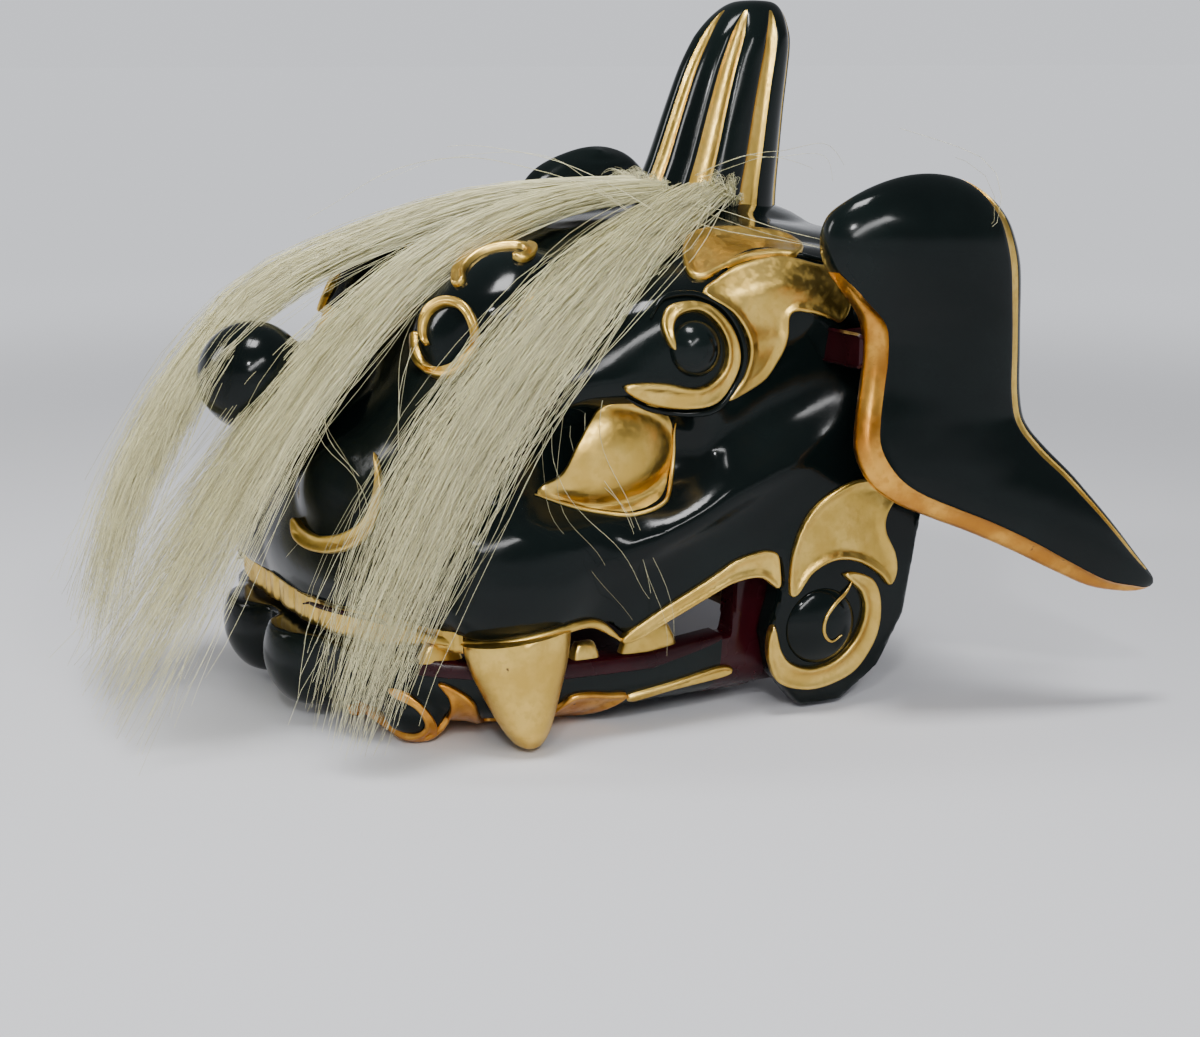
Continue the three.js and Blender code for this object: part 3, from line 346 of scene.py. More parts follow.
@dataclass(frozen=True)
class BareWood:
    """Plain turned wood with its grain along X."""

    name: str = "plain_wood"
    light: Triple = (0.46, 0.29, 0.15)
    dark: Triple = (0.24, 0.13, 0.06)

    def material(self) -> bpy.types.Material:
        """Builds the wood's material.

        Returns:
            The material.
        """
        sheet = NodeSheet(self.name)
        grain = sheet.noise(300.0, 4.0, (0.06, 1, 1))
        colour = sheet.blend(sheet.spread(grain, 0.35, 0.65), self.light, self.dark)
        sheet.join(colour, sheet.shader.inputs["Base Color"])
        sheet.set(Roughness=0.62)
        sheet.bump([(grain, 0.00025)])
        return sheet.material


@dataclass(frozen=True)
class PaleFloor:
    """Plain matt pale floor that fades into the sky's own colour far away."""

    name: str = "pale_floor"
    fade_start: float = 0.25
    fade_end: float = 2.2
    near: Triple = (0.72, 0.725, 0.755)

    def material(self) -> bpy.types.Material:
        """Builds the floor's material.

        Returns:
            The material.
        """
        sheet = NodeSheet(self.name)
        reach = sheet.add("ShaderNodeVectorMath", {0: sheet.place}, operation="LENGTH")
        near = sheet.blend(sheet.noise(2.0, 2.0), self.near, tuple(0.97 * c for c in self.near))
        away = sheet.spread(reach.outputs["Value"], self.fade_start, self.fade_end)
        sheet.join(sheet.blend(away, near, (0.0, 0.0, 0.0)), sheet.shader.inputs["Base Color"])
        glow = sheet.spread(away, 0.0, 1.0, 0.0, SKY_LIGHT)
        sheet.join(glow, sheet.shader.inputs["Emission Strength"])
        sheet.shader.inputs["Emission Color"].default_value = (*SKY_COLOUR, 1.0)
        sheet.set(Roughness=0.85, Specular_IOR_Level=0.1)
        return sheet.material


FINISHES = {
    Slot.BLACK: Lacquer("black_lacquer", (0.0022, 0.0042, 0.004), (0.004, 0.0075, 0.007), 0.09, 0.2),
    Slot.WINE: Lacquer("wine_lacquer", (0.035, 0.003, 0.006), (0.016, 0.0015, 0.003), 0.2, 0.25),
    Slot.GOLD: Gilding("gold_leaf", (0.83, 0.57, 0.15), (0.62, 0.4, 0.085), (0.1, 0.045, 0.015), 0.06),
    Slot.AMBER: Gilding("amber_gold", (0.82, 0.42, 0.07), (0.5, 0.2, 0.025), (0.09, 0.025, 0.008), 0.13, 0.2),
    Slot.HAIR: Horsehair(),
    Slot.WOOD: BareWood(),
}


class Palette:
    """The materials, each made once when it is first asked for."""

    def __init__(self) -> None:
        """Starts with no material made."""
        self.made: dict[Slot, bpy.types.Material] = {}

    def __getitem__(self, slot: Slot) -> bpy.types.Material:
        """Gives a slot's material.

        Args:
            slot: the slot.

        Returns:
            Its material.
        """
        if slot not in self.made:
            self.made[slot] = FINISHES[slot].material()
        return self.made[slot]


PALETTE = Palette()


@dataclass
class Patch:
    """Points and faces in millimetres, with a slot for each face if they differ."""

    points: Points
    faces: list
    marks: list[int] = field(default_factory=list)

    def mirrored(self) -> Patch:
        """Gives its mirror image for the lion's right."""
        return Patch(self.points * (-1, 1, 1), [list(reversed(f)) for f in self.faces], list(self.marks))

    def on(self, side: int) -> Patch:
        """Gives it as it stands on one side."""
        return self if side > 0 else self.mirrored()


def joined(patches: Iterable[Patch]) -> Patch:
    """Joins patches into one.

    Args:
        patches: the patches.

    Returns:
        One patch that holds them all.
    """
    points, faces, marks, start = [], [], [], 0
    for patch in patches:
        points.append(patch.points)
        faces += [[i + start for i in face] for face in patch.faces]
        marks += patch.marks or [0] * len(patch.faces)
        start += len(patch.points)
    return Patch(np.concatenate(points), faces, marks)


def mesh_object(name: str, patch: Patch, slots: Sequence[Slot], sharp: float = 50.0) -> bpy.types.Object:
    """Makes a smooth-shaded object of a patch.

    Args:
        name: the piece's name.
        patch: its points and faces.
        slots: the slots of its material marks, in order.
        sharp: the angle in degrees past which an edge stays crisp.

    Returns:
        The object, at the origin.
    """
    mesh = bpy.data.meshes.new(name)
    mesh.from_pydata((patch.points * MM).tolist(), [], [list(map(int, face)) for face in patch.faces])
    for slot in slots:
        mesh.materials.append(PALETTE[slot])
    if patch.marks:
        mesh.polygons.foreach_set("material_index", patch.marks)
    mesh.polygons.foreach_set("use_smooth", [True] * len(mesh.polygons))
    mesh.set_sharp_from_angle(angle=math.radians(sharp))
    mesh.validate()
    made = bpy.data.objects.new(name, mesh)
    bpy.context.collection.objects.link(made)
    return made


def seat(piece: bpy.types.Object, body: Body, nodes: Sequence[str] = ()) -> None:
    """Lets a piece ride on its body and the nodes that it stands for, and logs it.

    Args:
        piece: the piece.
        body: what it rides on.
        nodes: the frame's nodes that it replaces.
    """
    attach(piece, body.value)
    if nodes:
        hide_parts(*nodes)
    LOG.info("%s on %s, %d faces", piece.name, body.value, len(piece.data.polygons))


def skin_of(rings: Points) -> Patch:
    """Lays faces over rings of points and closes both ends.

    Args:
        rings: an array of ring, place round it, and X, Y, Z.

    Returns:
        The closed patch, its faces outwards.
    """
    count, sides = rings.shape[:2]
    points = rings.reshape(-1, 3)
    faces = []
    for i in range(count - 1):
        for j in range(sides):
            a, b = i * sides + j, i * sides + (j + 1) % sides
            faces.append([a, b, b + sides, a + sides])
    first = len(points)
    points = np.concatenate([points, rings[0].mean(0)[None], rings[-1].mean(0)[None]])
    last = (count - 1) * sides
    for j in range(sides):
        k = (j + 1) % sides
        faces.append([first, k, j])
        faces.append([first + 1, last + j, last + k])
    return outwards(Patch(points, faces))


def outwards(patch: Patch) -> Patch:
    """Turns a closed patch so that it encloses a volume that is over zero.

    Args:
        patch: a closed patch.

    Returns:
        The patch, its faces turned if they pointed inwards.
    """
    volume = 0.0
    for face in patch.faces:
        a = patch.points[face[0]]
        for i in range(1, len(face) - 1):
            volume += np.dot(a, np.cross(patch.points[face[i]], patch.points[face[i + 1]]))
    if volume < 0:
        patch.faces = [list(reversed(face)) for face in patch.faces]
    return patch


def curve_through(rows: Points, count: int, closed: bool = False) -> Points:
    """Draws a smooth curve through rows of values, evenly in the rows' own order.

    Args:
        rows: the rows to pass through.
        count: how many rows to give.
        closed: whether the last row leads back to the first.

    Returns:
        The rows of the curve.
    """
    rows = np.asarray(rows, float)
    total = len(rows)
    place = np.linspace(0, total if closed else total - 1, count, endpoint=not closed)
    low = np.minimum(np.floor(place).astype(int), total - 1 if closed else total - 2)
    t = (place - low)[:, None]
    if closed:
        near = [rows[(low + k) % total] for k in (-1, 0, 1, 2)]
    else:
        near = [rows[np.clip(low + k, 0, total - 1)] for k in (-1, 0, 1, 2)]
    before, start, end, after = near
    return 0.5 * (2 * start + (end - before) * t + (2 * before - 5 * start + 4 * end - after) * t ** 2
                  + (3 * start - before - 3 * end + after) * t ** 3)


def evenly(points: Points, spacing: float, closed: bool = False) -> Points:
    """Places points along a line at an even spacing.

    Args:
        points: the line's points.
        spacing: the wanted distance between points.
        closed: whether the line is a loop.

    Returns:
        The new points.
    """
    line = np.concatenate([points, points[:1]]) if closed else points
    away = np.concatenate([[0], np.cumsum(np.linalg.norm(np.diff(line, axis=0), axis=1))])
    count = max(4, int(round(away[-1] / spacing)))
    asked = np.linspace(0, away[-1], count + (0 if closed else 1), endpoint=not closed)
    return np.stack([np.interp(asked, away, line[:, k]) for k in range(line.shape[1])], 1)


@dataclass(frozen=True)
class Mound:
    """A tilted ellipsoid: places and radii are shares of the half width, the depth and the crown's height."""

    x: float
    y: float
    z: float
    rx: float
    ry: float
    rz: float
    tilt: float
    blend: float

    def value(self, p: Points) -> Points:
        """Gives its distance-like value, under zero inside.

        Args:
            p: the places.

        Returns:
            A value for each place.
        """
        lean = math.radians(self.tilt)
        dy = p[..., 1] - self.y * HEAD_DEPTH
        dz = p[..., 2] - self.z * CROWN_HEIGHT
        rx, ry, rz = self.rx * HALF_WIDTH, self.ry * HEAD_DEPTH, self.rz * CROWN_HEIGHT
        px = np.abs(p[..., 0]) - self.x * HALF_WIDTH
        py = dy * math.cos(lean) + dz * math.sin(lean)
        pz = dz * math.cos(lean) - dy * math.sin(lean)
        near = np.sqrt((px / rx) ** 2 + (py / ry) ** 2 + (pz / rz) ** 2)
        slope = np.sqrt((px / rx ** 2) ** 2 + (py / ry ** 2) ** 2 + (pz / rz ** 2) ** 2)
        return near * (near - 1) / np.maximum(slope, 1e-9)


CROWN_LINE = np.array([
    (-0.52, 0.56), (-0.42, 0.7), (-0.33, 0.755), (-0.25, 0.84), (-0.16, 0.92), (0, 0.98), (0.17, 1), (0.34, 1),
    (0.5, 0.97),
])
MOUNDS = {
    "muzzle": Mound(0.66, -0.205, 0.4, 0.31, 0.2, 0.13, 0, 0.6),
    "lip over the fang": Mound(0.78, -0.21, 0.33, 0.22, 0.15, 0.15, 0, 0.6),
    "front lip": Mound(0.2, -0.385, 0.34, 0.5, 0.105, 0.1, 0, 1.2),
    "nose bridge": Mound(0, -0.39, 0.64, 0.22, 0.14, 0.12, 0, 1),
    "lower fold": Mound(0.88, 0.09, 0.465, 0.13, 0.23, 0.046, 24, 0.8),
    "middle fold": Mound(0.875, 0.13, 0.563, 0.12, 0.2, 0.042, 30, 0.8),
    "upper fold": Mound(0.858, 0.15, 0.65, 0.1, 0.16, 0.038, 34, 0.8),
    "brow": Mound(0.74, 0.07, 0.77, 0.18, 0.15, 0.13, 10, 0.8),
    "brow root": Mound(0.74, 0.25, 0.87, 0.17, 0.16, 0.08, 6, 0.8),
    "forehead": Mound(0.4, -0.16, 0.84, 0.24, 0.13, 0.1, 20, 0.6),
    "horn seat": Mound(0, 0.36, 0.95, 0.3, 0.165, 0.075, 0, 1.2),
    "ear seat": Mound(0.82, 0.315, 0.81, 0.11, 0.085, 0.09, 0, 0.8),
    "cheek": Mound(0.92, 0.31, 0.215, 0.1, 0.15, 0.2, 0, 0.8),
    "nose root": Mound(0, -0.43, 0.61, 0.2, 0.1, 0.13, 0, 0.8),
    "ring base": Mound(0.44, -0.235, 0.765, 0.13, 0.062, 0.085, 0, 0.5),
    "crescent base": Mound(0.4, -0.13, 0.875, 0.17, 0.085, 0.085, 0, 0.6),
    "nostril base": Mound(0.35, -0.395, 0.49, 0.17, 0.085, 0.11, 0, 0.5),
    "ring dome": Mound(0.415, -0.244, 0.78, 0.1, 0.05, 0.066, 0, 0.15),
    "crescent dome": Mound(0.385, -0.115, 0.895, 0.125, 0.066, 0.056, 0, 0.15),
    "nostril dome": Mound(0.315, -0.407, 0.483, 0.155, 0.07, 0.105, 0, 0.15),
}
HOLLOWS = {
    "eye hollow": Mound(1.0, -0.09, 0.57, 0.24, 0.2, 0.13, 0, 1),
    "temple": Mound(1.08, 0.22, 0.67, 0.2, 0.2, 0.12, 24, 1),
}
LIP_LINE = np.array([
    (-0.72, 0.271), (-0.46, 0.271), (-0.397, 0.263), (-0.3, 0.225), (-0.18, 0.237), (-0.09, 0.246), (-0.047, 0.203),
    (0.067, 0.284), (0.173, 0.339), (0.21, 0.335),
]) * (HEAD_DEPTH, CROWN_HEIGHT)
CHEEK_EDGE = np.array([
    (0.213, 0.29), (0.19, 0.178), (0.207, 0.085), (0.26, 0.0085), (0.333, 0.0085), (0.403, 0.076), (0.45, 0.186),
    (0.477, 0.381), (0.4933, 0.55),
]) * (HEAD_DEPTH, CROWN_HEIGHT)
JAW_TOP = np.array([
    (-0.72, 0.195), (-0.467, 0.195), (-0.373, 0.182), (-0.2, 0.157), (0, 0.153), (0.127, 0.169),
]) * (HEAD_DEPTH, CROWN_HEIGHT)
JAW_ARM = np.array([
    (0.147, 0.17), (0.158, 0.3), (0.2, 0.34), (0.267, 0.34), (0.333, 0.254), (0.36, 0.17),
]) * (HEAD_DEPTH, CROWN_HEIGHT)
CHIN_UNDERSIDE = np.array([(-0.29, 0), (-0.4, 0.025), (-0.72, 0.06)]) * (HEAD_DEPTH, CROWN_HEIGHT)
NOSE = ((0.0, -150.0, 164.0), 26.9)
CHIN_LOBE = Mound(0.215, -0.442, 0.137, 0.205, 0.088, 0.125, 0, 0.3)
JAW_CORNER = ((92.0, -106.0, 17.5), 16.5)
BALLS_UNDER_HAIR = (
    ((53.0, -123.0, 118.0), 27.0), ((68.6, -70.5, 183.0), 20.0), ((60.0, -39.0, 212.0), 20.0),
    ((63.0, -45.0, 186.0), 19.0), ((126.0, 18.0, 180.0), 18.0),
)


def soft_min(a: Points, b: Points, soft: float) -> Points:
    """Joins two forms with a soft seam."""
    mix = np.maximum(soft - np.abs(a - b), 0) / soft
    return np.minimum(a, b) - mix * mix * soft * 0.25


def soft_max(a: Points, b: Points, soft: float) -> Points:
    """Keeps what two forms share, its edge softened."""
    return -soft_min(-a, -b, soft)


def ball_value(p: Points, centre: Sequence[float], radius: float) -> Points:
    """Gives the distance from a ball that stands on both sides."""
    x = np.abs(p[..., 0]) - centre[0]
    return np.sqrt(x ** 2 + (p[..., 1] - centre[1]) ** 2 + (p[..., 2] - centre[2]) ** 2) - radius


def outline_value(flat: Points, outline: Points) -> Points:
    """Signed distance from a closed outline in two directions, under zero inside.

    Args:
        flat: the places, two numbers each.
        outline: the outline's corners in order.

    Returns:
        A distance for each place.
    """
    away = np.full(flat.shape[:-1], 1e9)
    inside = np.zeros(flat.shape[:-1], bool)
    for a, b in zip(outline, np.roll(outline, -1, 0)):
        edge = b - a
        rel = flat - a
        t = np.clip((rel @ edge) / max(edge @ edge, 1e-12), 0, 1)
        away = np.minimum(away, np.sqrt(((rel - t[..., None] * edge) ** 2).sum(-1)))
        crosses = (a[1] > flat[..., 1]) != (b[1] > flat[..., 1])
        slope = (b[0] - a[0]) * (flat[..., 1] - a[1]) / (b[1] - a[1] if b[1] != a[1] else 1e-12) + a[0]
        inside ^= crosses & (flat[..., 0] < slope)
    return np.where(inside, -away, away)


class HeadForm:
    """The carved head as distance-like values, from the same tables as the frame's solid."""

    edge_softness = 2.6

    def skull(self, p: Points) -> Points:
        """The plain skull.

        Args:
            p: the places.

        Returns:
            A value for each place.
        """
        x, y, z = p[..., 0], p[..., 1], p[..., 2]
        width = HALF_WIDTH * (0.96 + 0.12 * np.maximum(0, y / HEAD_DEPTH))
        crown = np.interp(y / HEAD_DEPTH, CROWN_LINE[:, 0], CROWN_LINE[:, 1]) * CROWN_HEIGHT
        height = np.where(z > SPINE_Z, crown - SPINE_Z, CROWN_HEIGHT)
        front = np.maximum(0, SPINE_Y + 0.22 * HEAD_DEPTH - y) / (0.6 * HEAD_DEPTH)
        power = 3 + 0.6 * np.clip(y / HEAD_DEPTH + 0.3, 0, 0.8)
        total = np.abs(x / width) ** power + np.abs((z - SPINE_Z) / height) ** power + front ** power
        return (total ** (1 / power) - 1) * HALF_WIDTH * 0.9

    def hollowed(self, value: Points, p: Points) -> Points:
        """Carves the hollows out of a value.

        Args:
            value: the form's values at the places.
            p: the places.

        Returns:
            The carved values.
        """
        for row in HOLLOWS.values():
            value = soft_max(value, -row.value(p), row.blend * WALL)
        return value

    def face(self, p: Points) -> Points:
        """The carved face without its round curls and nose.

        Args:
            p: the places.

        Returns:
            A value for each place.
        """
        value = self.skull(p)
        for row in MOUNDS.values():
            value = soft_min(value, row.value(p), row.blend * WALL)
        return self.hollowed(value, p)

    def under_hair(self, p: Points) -> Points:
        """The face with every ball that the hair lies over.

        Args:
            p: the places.

        Returns:
            A value for each place.
        """
        value = np.minimum(self.face(p), ball_value(p, *NOSE))
        for ball in BALLS_UNDER_HAIR:
            value = np.minimum(value, ball_value(p, *ball))
        return value

    def side(self, flat: Points) -> Points:
        """The head's edge seen from the side.

        Args:
            flat: the places' Y and Z.

        Returns:
            A distance for each place.
        """
        rear = [(REAR_RIM_Y, 0.55 * CROWN_HEIGHT), (REAR_RIM_Y, 1.4 * CROWN_HEIGHT)]
        outline = np.concatenate([LIP_LINE, CHEEK_EDGE[:-1], rear, [(-0.72 * HEAD_DEPTH, 1.4 * CROWN_HEIGHT)]])
        return outline_value(flat, outline)

    def inside(self, p: Points) -> Points:
        """The hollow inside, under zero in the hollow."""
        hollow = self.hollowed(self.skull(p), p) + WALL
        return np.maximum(hollow, SPINE_Y - 95 - p[..., 1])

    def shell(self, p: Points) -> Points:
        """The whole shell.

        Args:
            p: the places.

        Returns:
            A value for each place.
        """
        outside = soft_min(self.face(p), ball_value(p, *NOSE), 1.2)
        outside = soft_max(outside, self.side(p[..., 1:]), self.edge_softness)
        return soft_max(outside, -self.inside(p), self.edge_softness)


class JawForm:
    """The carved jaw as distance-like values."""

    cheek_start: float = 46.0
    cheek_reach: float = 11.0
    cheek_room: float = 1.1

    def trough(self, p: Points) -> Points:
        """The rounded block that the jaw is cut from.

        Args:
            p: the places.

        Returns:
            A value for each place.
        """
        centre = JAW_HEIGHT / 2 - JAW_SINK
        front = np.maximum(0, SPINE_Y + 0.22 * HEAD_DEPTH - p[..., 1]) / (0.6 * HEAD_DEPTH)
        total = (np.abs(p[..., 0] / (JAW_WIDTH / 2)) ** 4 + np.abs((p[..., 2] - centre) / (JAW_HEIGHT / 2)) ** 4
                 + front ** 3.4)
        return (total ** 0.25 - 1) * (JAW_WIDTH / 2)

    def face(self, p: Points) -> Points:
        """The block with its chin lobes and corner curls."""
        value = soft_min(self.trough(p), CHIN_LOBE.value(p), 3.0)
        return soft_min(value, ball_value(p, *JAW_CORNER), 1.5)

    def side(self, flat: Points) -> Points:
        """The jaw's edge seen from the side.

        Args:
            flat: the places' Y and Z.

        Returns:
            A distance for each place.
        """
        lower = [(HINGE_Y, HINGE_Z - HINGE_BOSS_RADIUS), (HINGE_Y - HINGE_BOSS_RADIUS, 0.0)]
        outline = np.concatenate([JAW_TOP, JAW_ARM, lower, CHIN_UNDERSIDE])
        boss = np.hypot(flat[..., 0] - HINGE_Y, flat[..., 1] - HINGE_Z) - HINGE_BOSS_RADIUS
        return np.minimum(outline_value(flat, outline), boss)

    def shell(self, p: Points) -> Points:
        """The whole jaw.

        Args:
            p: the places.

        Returns:
            A value for each place.
        """
        outside = soft_max(self.face(p), self.side(p[..., 1:]), 2.0)
        outside = np.maximum(outside, -p[..., 2])
        beside_cheek = np.clip((p[..., 1] - self.cheek_start) / self.cheek_reach, 0, 1)
        widest = JAW_WIDTH / 2 + 0.4 - (self.cheek_room + 0.4) * beside_cheek
        outside = np.maximum(outside, np.abs(p[..., 0]) - widest)
        rear = HINGE_Y - HINGE_BOSS_RADIUS - JAW_WALL
        floor = np.where(p[..., 1] < rear, JAW_FLOOR - p[..., 2], -1e3)
        hollow = np.maximum(self.trough(p) + JAW_WALL, floor)
        behind = np.maximum(np.abs(p[..., 0]) - JAW_INNER_X, rear - p[..., 1])
        return soft_max(outside, -np.minimum(hollow, behind), 1.6)


def slope_of(value: Value, p: Points, reach: float) -> Points:
    """Gives the unit direction in which a value grows.

    Args:
        value: the form.
        p: the places.
        reach: how far to look each way.

    Returns:
        A direction for each place.
    """
    parts = []
    for axis in range(3):
        step = np.zeros(3)
        step[axis] = reach
        parts.append(value(p + step) - value(p - step))
    slope = np.stack(parts, -1)
    return slope / np.maximum(np.linalg.norm(slope, axis=-1, keepdims=True), 1e-9)


def settled(value: Value, p: Points, step: float) -> Points:
    """Moves places onto a form's surface by small steps.

    Args:
        value: the form.
        p: places near the surface.
        step: the most that one step may move a place.

    Returns:
        The moved places.
    """
    for _ in range(3):
        slope = slope_of(value, p, 0.25)
        p = p - slope * np.clip(value(p), -step, step)[..., None]
    return p


def carved(value: Value, low: Sequence[float], high: Sequence[float], step: float) -> Patch:
    """Meshes a mirrored form with one point in each grid cell that its surface passes.

    Args:
        value: the form, alike for both signs of X.
        low: the grid's lowest corner, whose X isn't used.
        high: the grid's highest corner.
        step: the grid's step.

    Returns:
        The surface as a patch of quads.
    """
    across = np.arange(0, high[0] + step, step)
    along = np.arange(high[1], low[1] - step, -step)[::-1]
    up = np.arange(low[2], high[2] + step, step)
    grid = np.stack(np.meshgrid(across, along, up, indexing="ij"), -1)
    half = value(grid)
    values = np.concatenate([half[:0:-1], half])
    across = np.concatenate([-across[:0:-1], across])
    inside = values < 0
    shape = np.array(values.shape) - 1
    corners = [(i, j, k) for i in (0, 1) for j in (0, 1) for k in (0, 1)]
    cell = [values[i:i + shape[0], j:j + shape[1], k:k + shape[2]] for i, j, k in corners]
    signs = sum((c < 0).astype(np.int8) for c in cell)
    active = (signs > 0) & (signs < 8)
    index = np.full(shape, -1)
    index[active] = np.arange(active.sum())
    held = np.stack([c[active] for c in cell], -1)
    where = np.argwhere(active).astype(float)
    total = np.zeros((len(where), 3))
    count = np.zeros(len(where))
    for a in range(8):
        for b in range(a + 1, 8):
            ca, cb = np.array(corners[a]), np.array(corners[b])
            if np.abs(ca - cb).sum() != 1:
                continue
            va, vb = held[:, a], held[:, b]
            crosses = (va < 0) != (vb < 0)
            t = np.where(crosses, va / np.where(crosses, va - vb, 1), 0)[:, None]
            total += np.where(crosses[:, None], ca + t * (cb - ca), 0)
            count += crosses
    points = np.array([across[0], along[0], up[0]]) + step * (where + total / count[:, None])
    faces = []
    for a in range(3):
        b, c = (a + 1) % 3, (a + 2) % 3
        first = [slice(None)] * 3
        second = [slice(None)] * 3
        first[a], second[a] = slice(0, -1), slice(1, None)
        for axis in (b, c):
            first[axis] = second[axis] = slice(1, -1)
        one, two = inside[tuple(first)], inside[tuple(second)]
        for leaving in (True, False):
            found = np.argwhere(one & ~two if leaving else ~one & two)
            found[:, b] += 1
            found[:, c] += 1
            ring = []
            for db, dc in ((-1, -1), (0, -1), (0, 0), (-1, 0)):
                at = found.copy()
                at[:, b] += db
                at[:, c] += dc
                ring.append(index[at[:, 0], at[:, 1], at[:, 2]])
            quads = np.stack(ring if leaving else ring[::-1], -1)
            faces.append(quads[(quads >= 0).all(1)])
    return Patch(settled(value, points, 0.35 * step), np.concatenate(faces).tolist())


@dataclass(frozen=True)
class View:
    """A flat drawing plane in front of a form: where it stands and which way its drawings are pushed on."""

    origin: Triple
    right: Triple
    up: Triple

    @property
    def out(self) -> Points:
        """The direction from the form to the plane."""
        return np.cross(self.right, self.up)

    @staticmethod
    def from_side() -> View:
        """The plane beside the lion's left cheek, drawn in Y and Z."""
        return View((185.0, 0.0, 0.0), (0, 1, 0), (0, 0, 1))

    @staticmethod
    def facing(middle: Sequence[float], round_by: float, lift: float) -> View:
        """A plane that faces round from the front to the left, and up, by degrees.

        Args:
            middle: the place that it stands off.
            round_by: degrees from the front round to the left.
            lift: degrees upwards.

        Returns:
            The plane.
        """
        turn, rise = math.radians(round_by), math.radians(lift)
        right = np.array([math.cos(turn), math.sin(turn), 0])
        out = np.array([math.sin(turn) * math.cos(rise), -math.cos(turn) * math.cos(rise), math.sin(rise)])
        return View(tuple(np.array(middle) + 45 * out), tuple(right), tuple(np.cross(out, right)))

    def onto(self, value: Value, flat: Points) -> Points:
        """Pushes drawn places straight back until they meet a form.

        Args:
            value: the form.
            flat: the drawn places.

        Returns:
            The places on the form.
        """
        start = np.array(self.origin) + flat[:, :1] * np.array(self.right) + flat[:, 1:] * np.array(self.up)
        away = np.zeros(len(flat))
        found = np.zeros(len(flat), bool)
        for _ in range(90):
            hit = value(start - away[:, None] * self.out) < 0
            found |= hit
            away = np.where(found, away, away + 1.5)
        low, high = away - 1.5, away
        for _ in range(10):
            middle = (low + high) / 2
            hit = value(start - middle[:, None] * self.out) < 0
            low, high = np.where(hit, low, middle), np.where(hit, middle, high)
        return start - high[:, None] * self.out


@dataclass(frozen=True)
class Relief:
    """A raised form with a drawn outline, laid on a carved surface."""

    corners: tuple
    view: View
    profile: Profile
    height: float
    facet: float = 1.3

    def outline(self) -> Points:
        """The outline, drawn smoothly and placed evenly."""
        drawn = curve_through(np.array(self.corners, float), 12 * len(self.corners), closed=True)
        return evenly(drawn, self.facet, closed=True)

    def rise(self, away: Points) -> Points:
        """How high the form stands at a distance from its edge.

        Args:
            away: distances inwards from the edge.

        Returns:
            Heights over the surface.
        """
        widest = max(float(away.max()), 0.5)
        if self.profile is Profile.DOMED:
            share = np.clip(away / widest, 0, 1)
            return self.height * (0.4 * np.sqrt(1 - (1 - share) ** 2) + 0.6 * (1 - (1 - share) ** 2))
        rim = min(0.9, 0.3 * widest)
        climb = np.clip(away / rim, 0, 1)
        dip = np.clip((away - rim) / max(min(4.0, widest - rim), 0.4), 0, 1)
        return self.height * (0.6 + 0.4 * climb * (2 - climb) - 0.62 * dip * dip * (3 - 2 * dip))

    def patch(self, value: Value) -> Patch:
        """Builds the relief on a form.

        Args:
            value: the form that it lies on.

        Returns:
            The relief with a skirt that sinks into the form.
        """
        outline = self.outline()
        count = len(outline)
        ahead = np.roll(outline, -1, 0) - np.roll(outline, 1, 0)
        inwards = np.stack([-ahead[:, 1], ahead[:, 0]], 1)
        inwards /= np.maximum(np.linalg.norm(inwards, axis=1, keepdims=True), 1e-9)
        area = np.cross(outline, np.roll(outline, -1, 0)).sum()
        if area < 0:
            inwards = -inwards
        rows = [outline]
        for away in (0.45, 0.95, 1.6, 2.4):
            ring = outline + inwards * away
            keep = -outline_value(ring, outline) > 0.93 * away
            rows.append(ring[keep])
        low, high = outline.min(0), outline.max(0)
        spans = [np.arange(low[k], high[k], self.facet * 1.15) for k in (0, 1)]
        inner = np.stack(np.meshgrid(*spans, indexing="ij"), -1).reshape(-1, 2)
        inner[::2, 0] += 0.3 * self.facet
        inner = inner[outline_value(inner, outline) < -2.4 - 0.6 * self.facet]
        drawn = np.concatenate([*rows, inner])
        loop = list(range(count))
        made = delaunay_2d_cdt([Vector(p) for p in drawn], [], [loop], 1, 1e-5)
        flat = np.array([tuple(p) for p in made[0]])
        faces = [list(face) for face in made[2]]
        edge = {}
        for face in faces:
            for a, b in zip(face, face[1:] + face[:1]):
                edge[(a, b)] = edge.get((a, b), 0) + 1
        border = [(a, b) for a, b in edge if (b, a) not in edge]
        base = self.view.onto(value, flat)
        normal = slope_of(value, base, 2.5)
        away = np.maximum(-outline_value(flat, outline), 0)
        top = base + normal * self.rise(away)[:, None]
        starts = {a: i for i, (a, _) in enumerate(border)}
        sunk = np.array([base[a] - 2.5 * normal[a] for a, _ in border])
        size = len(top)
        skirt = [[b, a, size + starts[a], size + starts[b]] for a, b in border if b in starts]
        return Patch(np.concatenate([top, sunk]), faces + skirt)


def ribbon(*edges: Sequence) -> tuple:
    """Joins an outer edge and an inner edge, both from start to end, into one outline."""
    outer, inner = edges
    return tuple(outer) + tuple(reversed(tuple(inner)))


def disc(centre: Sequence[float], radius: float, squeeze: float = 1.0, count: int = 16) -> tuple:
    """Draws a round or oval outline."""
    turns = [2 * math.pi * i / count for i in range(count)]
    return tuple((centre[0] + radius * math.cos(t), centre[1] + radius * squeeze * math.sin(t)) for t in turns)


